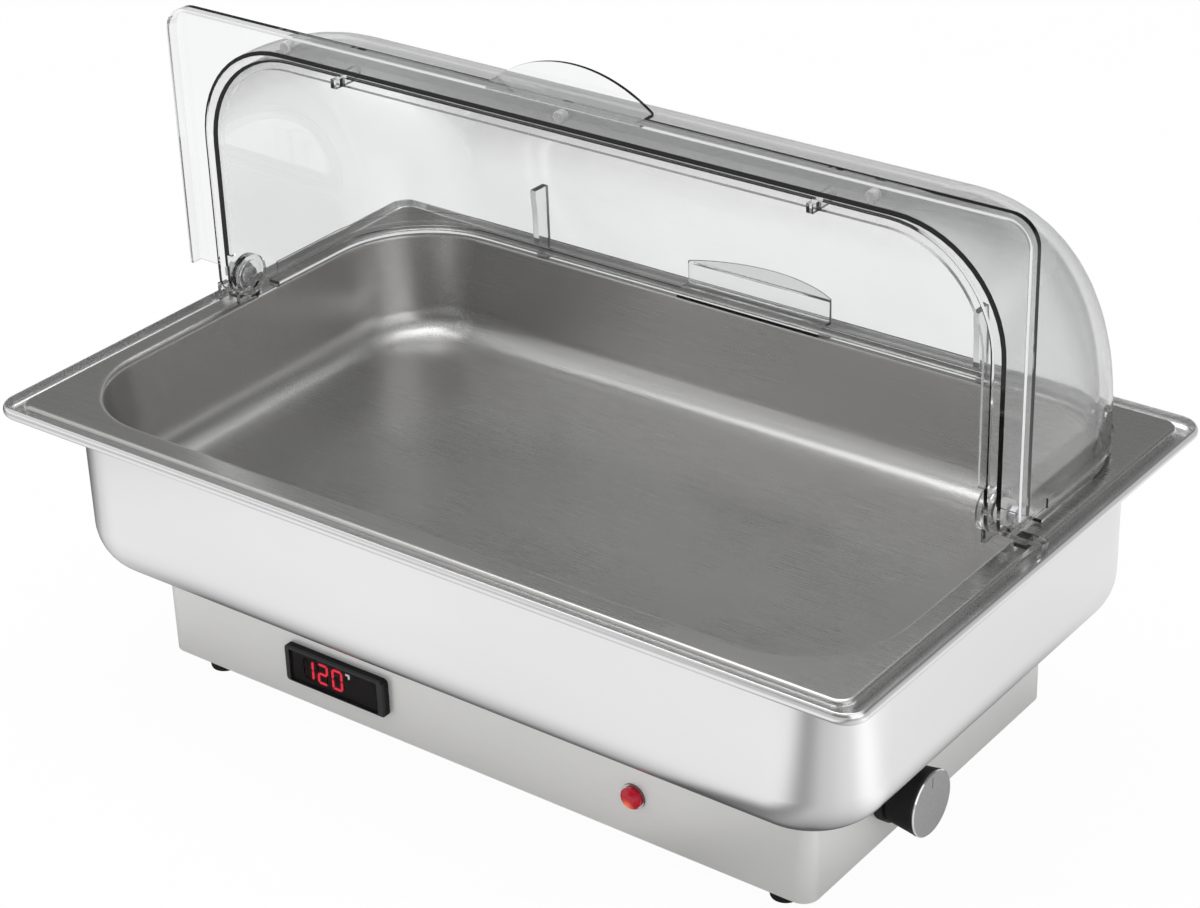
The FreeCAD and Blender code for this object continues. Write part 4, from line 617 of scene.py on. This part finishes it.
rubber = moulded(
    "black_rubber",
    light=0.022,
    dark=0.012,
    fineness=1800,
    rough=(0.55, 0.75),
    depth=0.00006,
)


def turned(profile, turns=56, closed=True):
    """Points and faces of a piece turned about Z, from a closed profile or one with flat ends."""
    angles = [2 * math.pi * i / turns for i in range(turns)]
    rings = [[(r * math.cos(a), r * math.sin(a), z) for a in angles] for r, z in profile]
    return skin(rings, closed)


foot_recipe, given, result = new_recipe(
    "feet_in_a_row", (("Shape", "Object"), ("Material", "Material"))
)
source = add_node(foot_recipe, "GeometryNodeObjectInfo", {"Object": given["Shape"]})
set_out(foot_recipe, source.outputs["Geometry"], given, result)
foot_profile = [(4.4, 0), (7.2, 0), (7.75, 0.25), (8.0, 0.8), (8.55, 4.0), (8.2, 4.3)]
foot_profile += [(8.27, 4.9), (8.75, 5.2), (9.75, 10.6), (9.6, 11.05), (9.2, 11.2)]
foot_profile += [(2.1, 11.2), (2.1, 7.2), (4.4, 7.2)]
one_foot = piece_of("one_foot", *turned(foot_profile))
feet = made_by(
    foot_recipe,
    "rubber_feet_ribbed",
    [(x, y, 0) for x, y in FOOT_PLACES],
    [(0, 0, 0)] * len(FOOT_PLACES),
    {"Shape": one_foot, "Material": rubber},
)
bpy.data.objects.remove(one_foot)
soften(feet, 40)
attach(feet, "heater")
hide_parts("rubber_feet")

# Heater under the tub: an aluminium spreader plate with a tubular element clamped to it, a felt
# pad, a sheet tray on studs and a small thermal cutout.
cast_aluminium = sheet_metal(
    "rolled_aluminium",
    light=(0.78, 0.78, 0.79),
    dark=(0.68, 0.68, 0.69),
    stretch=(80, 1500, 1500),
    rough=(0.32, 0.5),
    depth=0.00002,
)
dress(cast_aluminium, "heat_spreader", "element_clamps", "heat_shield")
element_steel = moulded(
    "heat_tinted_sheath",
    light=(0.22, 0.19, 0.16),
    dark=(0.12, 0.11, 0.10),
    fineness=900,
    rough=(0.4, 0.62),
    depth=0.00004,
    Metallic=0.8,
)
dress(element_steel, "heating_element")
felt = moulded(
    "glass_fibre_felt",
    light=(0.80, 0.78, 0.70),
    dark=(0.62, 0.60, 0.52),
    fineness=600,
    rough=(0.85, 0.98),
    depth=0.0006,
)
dress(felt, "insulation_pad")
ceramic = moulded(
    "glazed_ceramic",
    light=(0.84, 0.82, 0.77),
    dark=(0.76, 0.74, 0.69),
    fineness=400,
    rough=(0.25, 0.45),
    depth=0.00005,
)
dress(ceramic, "thermal_cutout")

# Thermostat and wiring: black phenolic switch body, copper bulb and capillary, brass pins, white
# terminal block and silicone-sleeved leads.
black_plastic = moulded(
    "black_moulded_plastic",
    light=(0.028, 0.028, 0.03),
    dark=(0.018, 0.018, 0.02),
    fineness=2600,
    rough=(0.32, 0.46),
    depth=0.00002,
)
dress(
    black_plastic, "thermostat_body", "knob_collar", "lamp_body", "lamp_nut", "inlet_socket"
)
copper = sheet_metal(
    "drawn_copper",
    light=(0.80, 0.46, 0.32),
    dark=(0.62, 0.34, 0.23),
    stretch=(300, 1200, 1200),
    rough=(0.22, 0.42),
    depth=0.00002,
)
dress(copper, "sensor_bulb", "capillary_tube")
brass = sheet_metal(
    "turned_brass",
    light=(0.80, 0.62, 0.30),
    dark=(0.66, 0.48, 0.22),
    stretch=(1200, 1200, 200),
    rough=(0.2, 0.36),
    depth=0.00002,
)
dress(brass, "inlet_pins", "element_pins")
white_plastic = moulded(
    "white_nylon",
    light=(0.80, 0.80, 0.77),
    dark=(0.70, 0.70, 0.67),
    fineness=1500,
    rough=(0.35, 0.55),
    depth=0.00003,
)
dress(white_plastic, "terminal_block", "hinge_washers")
sleeve = moulded(
    "silicone_sleeve",
    light=(0.55, 0.10, 0.07),
    dark=(0.40, 0.06, 0.05),
    fineness=1500,
    rough=(0.45, 0.65),
    depth=0.00004,
)
dress(sleeve, "supply_leads", "element_leads")
board = moulded(
    "circuit_board_lacquer",
    light=(0.02, 0.16, 0.06),
    dark=(0.01, 0.10, 0.035),
    fineness=700,
    rough=(0.25, 0.45),
    depth=0.00004,
)
dress(board, "display_board")

# Knob: a black tapered skirt with a satin aluminium cap pressed on its face, and an engraved
# pointer line near the cap's edge.
knob_black = moulded(
    "knob_black_plastic",
    light=(0.012, 0.012, 0.013),
    dark=(0.008, 0.008, 0.009),
    fineness=2400,
    rough=(0.38, 0.5),
    depth=0.00002,
)
KNOB_AXIS = Matrix(((0, 0, 1, 0), (0, 1, 0, -0.042), (-1, 0, 0, 0.0405), (0, 0, 0, 1)))


def between(low, high):
    """A closed solid between two outlines of equal length."""
    count = len(low)
    faces = [tuple(reversed(range(count))), tuple(range(count, 2 * count))]
    for i in range(count):
        j = (i + 1) % count
        faces.append((i, j, count + j, count + i))
    return low + high, faces


def prism(section, start, end):
    """A closed section in Y and Z drawn out along X."""
    return between([(start, y, z) for y, z in section], [(end, y, z) for y, z in section])


def slab(x0, x1, y0, y1, z0, z1):
    """A plain block between two corners."""
    return prism(((y0, z0), (y1, z0), (y1, z1), (y0, z1)), x0, x1)


def carve(piece, steps):
    """Joins, cuts or keeps a piece with each of the other shapes in turn."""
    helpers = []
    for number, (kind, shape) in enumerate(steps):
        helper = piece_of("helper_%d" % number, *shape)
        helper.hide_render = True
        helpers.append(helper)
        change = piece.modifiers.new("carve_%d" % number, "BOOLEAN")
        change.operation = kind
        change.solver = "EXACT"
        change.object = helper
    settle(piece)
    for helper in helpers:
        bpy.data.objects.remove(helper)
    return piece


def on_knob_axis(piece, body, node, material, degrees=35):
    """Puts a piece that was turned about Z on the knob's axis, pointing right."""
    piece.data.transform(KNOB_AXIS)
    piece.data.materials.append(material)
    soften(piece, degrees)
    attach(piece, body)
    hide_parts(node)


skirt_profile = [(12.8, 221.5), (15.4, 221.5), (15.8, 221.9), (15.9, 222.6), (17.85, 236.8)]
skirt_profile += [(18.1, 237.6), (17.95, 238.3), (17.5, 238.5), (3.05, 238.5), (3.05, 221.5)]
skirt_profile += [(6.0, 221.5), (6.0, 235.5), (15.1, 235.5)]
skirt = piece_of("knob_skirt_turned", *turned(skirt_profile, 96))
on_knob_axis(skirt, "knob", "knob_skirt", knob_black)
knob_face = sheet_metal(
    "spun_aluminium",
    light=(0.46, 0.46, 0.465),
    dark=(0.42, 0.42, 0.425),
    stretch=(60, 700, 700),
    rough=(0.34, 0.48),
    depth=0.00001,
)
bright_edge = sheet_metal(
    "diamond_turned_edge",
    light=0.93,
    dark=0.88,
    stretch=(400, 400, 400),
    rough=(0.1, 0.16),
    depth=0.000001,
)
cap_profile = [(17.7, 238.5), (18.0, 238.7), (18.1, 239.1), (18.1, 239.4), (17.5, 240)]
cap = piece_of("knob_cap_spun", *turned(cap_profile, 96, closed=False))
carve(cap, [("DIFFERENCE", slab(-15.6, -9.6, -0.5, 0.5, 239.75, 241))])
on_knob_axis(cap, "knob", "knob_cap", knob_face)
cap.data.materials.append(bright_edge)
for face in cap.data.polygons:
    if 0.5 < face.normal.x < 0.9:
        face.material_index = 1

# Display: a moulded glossy black bezel with a smoked window, and a black module behind it. Red
# seven-segment digits, some of their segments unlit, and a small pale mark show through the window.
bezel_black = moulded(
    "glossy_black_bezel",
    light=(0.022, 0.022, 0.024),
    dark=(0.015, 0.015, 0.017),
    fineness=1200,
    rough=(0.12, 0.24),
    depth=0.000005,
    Specular_IOR_Level=0.35,
)
dress(bezel_black, "display_bezel")
module_black = moulded(
    "display_module_black",
    light=(0.005, 0.004, 0.004),
    dark=0.003,
    fineness=1200,
    rough=(0.5, 0.7),
    depth=0.00001,
    Specular_IOR_Level=0.1,
)
dress(module_black, "display_module")
smoked = moulded(
    "smoked_window",
    light=(0.85, 0.8, 0.8),
    dark=(0.8, 0.75, 0.75),
    fineness=900,
    rough=(0.03, 0.08),
    depth=0.000002,
    Transmission_Weight=1,
    IOR=1.12,
)
dress(smoked, "display_window")
lit_red = moulded(
    "lit_segment",
    light=(0.2, 0.01, 0.01),
    dark=(0.15, 0.01, 0.01),
    fineness=900,
    rough=(0.4, 0.6),
    depth=0.00001,
    Emission_Color=(1.0, 0.045, 0.09, 1),
    Emission_Strength=0.75,
)
unlit_red = moulded(
    "unlit_segment",
    light=(0.075, 0.012, 0.012),
    dark=(0.06, 0.01, 0.01),
    fineness=900,
    rough=(0.4, 0.6),
    depth=0.00001,
)
SEGMENT_FRONT, SEGMENT_BACK = -119.4, -118.8


def bar(x, z, length, stroke, upright):
    """A segment with pointed ends, as points at its front and back, and its faces."""
    half, side = length / 2, stroke / 2
    outline = [(-half, 0), (side - half, -side), (half - side, -side)]
    outline += [(-a, -b) for a, b in outline]
    if upright:
        outline = [(-b, a) for a, b in outline]
    points = [(x + a, y, z + b) for y in (SEGMENT_FRONT, SEGMENT_BACK) for a, b in outline]
    faces = [(0, 1, 2, 3, 4, 5), (11, 10, 9, 8, 7, 6)]
    faces += [(i, i + 6, (i + 1) % 6 + 6, (i + 1) % 6) for i in range(6)]
    return points, faces


DIGIT_WIDTH, DIGIT_HEIGHT, STROKE, SEGMENT_GAP = 7.4, 12.8, 1.2, 0.35
FIRST_DIGIT, DIGIT_STEP, DIGIT_MIDDLE = -106.8, 10.3, 37.1
across, down = DIGIT_WIDTH - STROKE, (DIGIT_HEIGHT - STROKE) / 2
segments = {
    "top": (0, down, across, False),
    "middle": (0, 0, across, False),
    "bottom": (0, -down, across, False),
    "upper_left": (-across / 2, down / 2, down, True),
    "upper_right": (across / 2, down / 2, down, True),
    "lower_left": (-across / 2, -down / 2, down, True),
    "lower_right": (across / 2, -down / 2, down, True),
}
unlit_in = {
    "1": ("top", "middle", "bottom", "upper_left", "lower_left"),
    "2": ("upper_left", "lower_right"),
    "0": ("middle",),
}
points, faces, dark_faces = [], [], set()
for place, digit in enumerate("120"):
    for name, (x, z, length, upright) in segments.items():
        centre = FIRST_DIGIT + DIGIT_STEP * place + x
        some_points, some_faces = bar(
            centre, DIGIT_MIDDLE + z, length - SEGMENT_GAP, STROKE, upright
        )
        if name in unlit_in[digit]:
            dark_faces.update(range(len(faces), len(faces) + len(some_faces)))
        faces += [tuple(i + len(points) for i in face) for face in some_faces]
        points += some_points
digits = piece_of("digit_segments", points, faces)
for material in (lit_red, unlit_red):
    digits.data.materials.append(material)
for number in dark_faces:
    digits.data.polygons[number].material_index = 1
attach(digits, "heater")
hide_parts("display_digits")
# Painted light: the pale mark is given a faint white glow of its own.
pale_mark_painted_glow = moulded(
    "pale_mark_painted_glow",
    light=0.7,
    dark=0.6,
    fineness=900,
    rough=(0.4, 0.6),
    depth=0.00001,
    Emission_Color=(1, 0.95, 0.95, 1),
    Emission_Strength=0.35,
)
dress(pale_mark_painted_glow, "display_mark")

# Pilot lamp: a faceted red lens in a thin ring. The glow of the small lamp behind it is painted
# into the lens as an orange patch low on one side, which fades to deep red at the rim.
glow_inputs = (("Centre", "Vector"), ("Reach", "Float"), ("Near", "Color"), ("Far", "Color"))
painted_glow_group, given, result = new_tree(
    "ShaderNodeTree", "painted_lamp_glow", glow_inputs, (("Color", "Color"),)
)
gap = calculate_vector(
    painted_glow_group, "DISTANCE", object_place(painted_glow_group), given["Centre"], result="Value"
)
fade = spread(painted_glow_group, gap, 0, given["Reach"], interpolation_type="SMOOTHSTEP")
tone = colour_mix(painted_glow_group, fade, given["Near"], given["Far"])
wire(painted_glow_group, tone, result.inputs["Color"])

lens_red = moulded(
    "red_lamp_lens",
    light=(0.42, 0.008, 0.022),
    dark=(0.34, 0.005, 0.016),
    fineness=400,
    rough=(0.06, 0.16),
    depth=0.00001,
    Emission_Strength=0.7,
)
tree = lens_red.node_tree
# Painted glow: the emission colour is orange near a fixed point low on the lens and deep red
# farther off.
inputs = {"Centre": (0.109, -0.1205, 0.0332), "Reach": 0.0052}
inputs.update({"Near": colour((1.0, 0.26, 0.06)), "Far": colour((0.2, 0.001, 0.01))})
glow = add_node(tree, "ShaderNodeGroup", inputs, node_tree=painted_glow_group)
wire(tree, glow.outputs[0], tree.nodes["Principled BSDF"].inputs["Emission Color"])
LAMP_AXIS = Matrix(((1, 0, 0, 0.110), (0, 0, -1, 0), (0, 1, 0, 0.0372), (0, 0, 0, 1)))


def on_lamp_axis(piece, node, material):
    """Puts a piece that was turned about Z on the lamp's axis, pointing forward."""
    piece.data.transform(LAMP_AXIS)
    piece.data.materials.append(material)
    soften(piece, 20)
    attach(piece, "heater")
    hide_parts(node)


lens_profile = [(5.6, 117.75), (6.0, 117.9), (6.2, 119.6), (5.7, 120.2), (3.6, 121.5)]
lens_profile += [(3.1, 121.65)]
lens = piece_of("lamp_lens_cut", *turned(lens_profile, 16, closed=False))
crisp = lens.modifiers.new("edges", "BEVEL")
crisp.width = 0.00012
crisp.segments = 2
on_lamp_axis(lens, "lamp_lens", lens_red)
ring_chrome = sheet_metal(
    "chrome_lamp_ring",
    light=0.8,
    dark=0.74,
    stretch=(300, 300, 300),
    rough=(0.12, 0.2),
    depth=0.000001,
)
dress(ring_chrome, "lamp_ring")

# Hinge brackets: one at each end, moulded in clear plastic, with a boss for the hinge screw. Each
# lies over the pan's flange and hooks over its edge, and its screw carries both hoods.
scuff_group, given, result = look_group("clear_plastic_scuffs")
haze = noise(scuff_group, object_place(scuff_group), scale=14, detail=4)
end_look(scuff_group, given, result, spread(scuff_group, haze, 0.4, 0.7), haze)

# Painted shade: how much a clear wall's colour is painted grey with its slant: 0 is seen straight
# on, 1 is seen along the wall.
PAINTED_SLANT_SHADE_STOPS = ((0.4, 0), (0.5, 1), (0.64, 1), (0.78, 0.05))
PAINTED_SLANT_GREY = 0.86


def clear_plastic(name, light, dark):
    """A clear plastic with painted shade, greyer where it is seen aslant, that lets the lamps
    through.
    """
    look = {"light": light, "dark": dark, "rough": (0.01, 0.06), "depth": 0.000002}
    material = finished(name, scuff_group, {}, Transmission_Weight=1, IOR=1.49, **look)
    tree = material.node_tree
    shader = tree.nodes["Principled BSDF"]
    tint = shader.inputs["Base Color"]
    # Painted shade: the colour is mixed toward grey where the wall is seen aslant.
    aslant = add_node(tree, "ShaderNodeLayerWeight", {"Blend": 0.5}).outputs["Facing"]
    share = ramp(tree, aslant, PAINTED_SLANT_SHADE_STOPS)
    wire(tree, colour_mix(tree, share, tint.links[0].from_socket, colour(PAINTED_SLANT_GREY)), tint)
    open_path = shader_of(tree, "BsdfTransparent", colour(0.9))
    whole = mixed(tree, ray_share(tree, "Is Shadow Ray"), shader.outputs[0], open_path)
    wire(tree, whole, tree.nodes["Material Output"].inputs["Surface"])
    return material


bracket_clear = clear_plastic("clear_bracket", (0.93, 0.935, 0.935), (0.9, 0.905, 0.905))
dress(bracket_clear, "hinge_bracket_left", "hinge_bracket_right")
AXIS_Z = 192
hinge_screws = made_by(
    screw_recipe,
    "hinge_screws_cross",
    [(-243.7, 0, AXIS_Z), (243.7, 0, AXIS_Z)],
    [(math.pi / 2, 0.6, math.pi / 2), (math.pi / 2, 0.3, -math.pi / 2)],
    {
        "Head Radius": 0.0052,
        "Head Height": 0.0022,
        "Dome": 0.0008,
        "Shank Radius": 0.003,
        "Shank Length": 0.0163,
        "Slot Length": 0.0056,
        "Slot Width": 0.0011,
        "Slot Depth": 0.001,
        "Material": zinc_steel,
    },
)
soften(hinge_screws, 35)
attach(hinge_screws, "cover_base")
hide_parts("hinge_screws")

# Rear hood: a quarter drum of clear plastic, moulded in one with an edge bead, a foot flange with a
# tab for the handle, and two small rest pegs. Its ends carry round ears for the hinge screws.
HINGE_BORE = 3.05
PAST_ENDS = 300
HANDLE_HALF = 48.5
REST_MIDDLES, REST_HALF = (-150, 150), 2


def drum(half_length, radius, corner, turns=144, steps=14):
    """Points and faces of a solid of revolution about the X axis with rounded ends."""
    profile = [(-half_length, 0.0)]
    for step in range(steps + 1):
        turn = math.radians(90 * step / steps)
        profile.append(
            (
                -half_length + corner - corner * math.cos(turn),
                radius - corner + corner * math.sin(turn),
            )
        )
    profile += [(-x, r) for x, r in reversed(profile)]
    points = [(profile[0][0], 0, 0)]
    for x, r in profile[1:-1]:
        for turn in range(turns):
            angle = 2 * math.pi * (turn + 0.5) / turns
            points.append((x, r * math.cos(angle), r * math.sin(angle)))
    points.append((profile[-1][0], 0, 0))
    last = len(points) - 1
    faces = []
    for i in range(turns):
        j = (i + 1) % turns
        faces.append((0, 1 + j, 1 + i))
        for level in range(len(profile) - 3):
            low, high = 1 + level * turns, 1 + (level + 1) * turns
            faces.append((low + i, low + j, high + j, high + i))
        top = 1 + (len(profile) - 3) * turns
        faces.append((last, top + i, top + j))
    return points, faces


def hood_space(edge, foot, reach=200, ear=12, notch=9):
    """The section that a hood keeps: behind its edge, above its foot, stepped in round the ear."""
    section = [(reach, -foot), (reach, reach), (-edge, reach), (-edge, notch), (-ear, notch)]
    for step in range(13):
        angle = math.radians(180 + 90 * step / 12)
        section.append((ear * math.cos(angle), ear * math.sin(angle)))
    section += [(notch, -ear), (notch, -foot)]
    return prism(section, -PAST_ENDS, PAST_ENDS)


def rod_along_x(radius, x0, x1, turns=36):
    """A round bar on the hinge axis."""
    section = [
        (radius * math.cos(2 * math.pi * i / turns), radius * math.sin(2 * math.pi * i / turns))
        for i in range(turns)
    ]
    return prism(section, x0, x1)


def shape_of(piece):
    """The points in millimetres and the faces of a piece, which is removed."""
    shape = (
        [tuple(v.co / MM) for v in piece.data.vertices],
        [tuple(face.vertices) for face in piece.data.polygons],
    )
    bpy.data.objects.remove(piece)
    return shape


def plate(outline, z0, z1):
    """A flat plate from its outline in X and Y, anticlockwise from above."""
    return between([(x, y, z0) for x, y in outline], [(x, y, z1) for x, y in outline])


def handle_lip(reach, back=160.5, half=HANDLE_HALF, wall=2.0, steps=40):
    """The outline of a thin lip that bulges outward in an arc behind its riser."""
    radius = (half * half + reach * reach) / (2 * reach)
    centre = back + wall + reach - radius
    spread_angle = math.asin(half / radius)
    outline = [(-half, back), (half, back)]
    for step in range(steps + 1):
        turn = spread_angle * (1 - 2 * step / steps)
        outline.append((radius * math.sin(turn), centre + radius * math.cos(turn)))
    return outline


def finish_clear(piece, material, edge=0.25):
    """Slightly rounded edges, smooth faces and the clear material."""
    clean = bmesh.new()
    clean.from_mesh(piece.data)
    bmesh.ops.remove_doubles(clean, verts=clean.verts, dist=0.00002)
    bmesh.ops.dissolve_degenerate(clean, edges=clean.edges, dist=0.00002)
    clean.to_mesh(piece.data)
    clean.free()
    round_off = piece.modifiers.new("edges", "BEVEL")
    round_off.width = edge * MM
    round_off.segments = 2
    round_off.limit_method = "ANGLE"
    round_off.angle_limit = math.radians(50)
    soften(piece, 60)
    piece.data.materials.append(material)


hood_clear = clear_plastic("clear_hood_plastic", (0.96, 0.965, 0.965), (0.94, 0.945, 0.945))
rear = piece_of("rear_hood_shell", *drum(248.5, 144.5, 60))
flange = piece_of("rear_flange", *drum(256.5, 152.5, 68))
carve(flange, [("INTERSECT", slab(-PAST_ENDS, PAST_ENDS, 28, 200, -30, -16.6))])
cavity = piece_of("rear_cavity", *drum(246.5, 142.5, 58))
carve(cavity, [("DIFFERENCE", slab(-PAST_ENDS, PAST_ENDS, -15, -9.4, 16, 200))])
carve(
    rear,
    [
        ("UNION", shape_of(flange)),
        ("UNION", slab(-HANDLE_HALF, HANDLE_HALF, 100, 162.5, -30, -16.6)),
        ("INTERSECT", hood_space(edge=12.8, foot=18.6)),
        ("DIFFERENCE", shape_of(cavity)),
        ("DIFFERENCE", drum(243, 139, 54.5)),
        *(
            ("UNION", slab(x - REST_HALF, x + REST_HALF, -18, 3, 138.5, 143.5))
            for x in REST_MIDDLES
        ),
        ("DIFFERENCE", rod_along_x(HINGE_BORE, -PAST_ENDS, PAST_ENDS)),
    ],
)
rear.data.transform(Matrix.Translation((0, 0, AXIS_Z * MM)))
finish_clear(rear, hood_clear)
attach(rear, "rear_hood")
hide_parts("rear_hood")

# Rear handle: a clear moulded riser with a thin lip that the fingers lift. It is bonded on the tab
# of the hood's foot flange.
rear_handle = piece_of("rear_handle_lip", *slab(-HANDLE_HALF, HANDLE_HALF, 160.5, 162.5, -16.6, -4))
carve(rear_handle, [("UNION", plate(handle_lip(14), -5, -3))])
rear_handle.data.transform(Matrix.Translation((0, 0, AXIS_Z * MM)))
finish_clear(rear_handle, hood_clear)
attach(rear_handle, "rear_hood")
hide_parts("rear_handle")

# Front hood: the larger clear quarter drum, moulded in one with a wide frame plate that has a
# turned lip, a strip along its upper edge, a handle and two rest legs. It is shaped here closed at
# the back, about the hinge axis, and then rolled to where it rests.
front = piece_of("front_hood_shell", *drum(255.5, 148.2, 62))
strip = piece_of("front_strip", *drum(256.5, 149.2, 63))
carve(strip, [("INTERSECT", slab(-PAST_ENDS, PAST_ENDS, -30, -7.5, 34, 200))])


def frame_outline(inset):
    """Half of the round-cornered frame plate, from the hinge to its far edge."""
    half_x, half_y, corner = 270.5 - inset, 162.5 - inset, 15 - inset
    outline = [(half_x, 8)]
    for side, start in ((1, 0), (-1, 90)):
        for step in range(13):
            turn = math.radians(start + 90 * step / 12)
            outline.append(
                (
                    side * (half_x - corner) + corner * math.cos(turn),
                    half_y - corner + corner * math.sin(turn),
                )
            )
    return outline + [(-half_x, 8)]


lip_ring = piece_of("front_lip", *plate(frame_outline(0), -18.5, -12))
inner_outline = frame_outline(2)
inner_outline[0] = (inner_outline[0][0], 0)
inner_outline[-1] = (inner_outline[-1][0], 0)
carve(lip_ring, [("DIFFERENCE", plate(inner_outline, -30, 0))])
front_steps = [
    ("UNION", shape_of(strip)),
    ("UNION", plate(frame_outline(0), -30, -11)),
    ("INTERSECT", hood_space(edge=13, foot=13)),
    ("DIFFERENCE", drum(253.5, 146.2, 60)),
    ("UNION", shape_of(lip_ring)),
    ("UNION", slab(-HANDLE_HALF, HANDLE_HALF, 160.5, 162.4, -12, -4)),
    ("UNION", plate(handle_lip(15.8, back=160.7), -5, -3)),
]
leg = ((-14, 147.2), (22, 147.2), (22, 159.2), (-18.5, 159.2), (-18.5, 153.4), (-14, 153.4))
front_steps += [("UNION", prism(leg, x - REST_HALF, x + REST_HALF)) for x in REST_MIDDLES]
front_steps.append(("DIFFERENCE", rod_along_x(HINGE_BORE, -PAST_ENDS, PAST_ENDS)))
carve(front, front_steps)
rolled_back = Matrix(((-1, 0, 0, 0), (0, 0, 1, 0), (0, 1, 0, AXIS_Z * MM), (0, 0, 0, 1)))
front.data.transform(rolled_back)
finish_clear(front, hood_clear)
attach(front, "front_hood")
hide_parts("front_hood")

# Bumpers: three soft clear studs with domed ends under the frame plate of the front hood, which
# faces forward while the hood is rolled back.
PLATE_FACE, STUD_HEIGHT = -13, 346.5
stud_points, stud_faces = turned([(3.25, 0), (3.25, 4.3), (2.9, 5.1), (2.1, 5.5)], 40, closed=False)
points, faces = [], []
for centre in (-183.5, 0, 183.5):
    faces += [tuple(i + len(points) for i in face) for face in stud_faces]
    points += [(centre + x, PLATE_FACE - z, STUD_HEIGHT + y) for x, y, z in stud_points]
bumpers = soften(piece_of("bumper_studs", points, faces), 30)
soft_clear = moulded(
    "soft_clear_bumper",
    light=0.85,
    dark=0.75,
    fineness=600,
    rough=(0.15, 0.3),
    depth=0.00001,
    Transmission_Weight=0.5,
    IOR=1.3,
)
bumpers.data.materials.append(soft_clear)
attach(bumpers, "front_hood")
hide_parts("hood_bumpers")
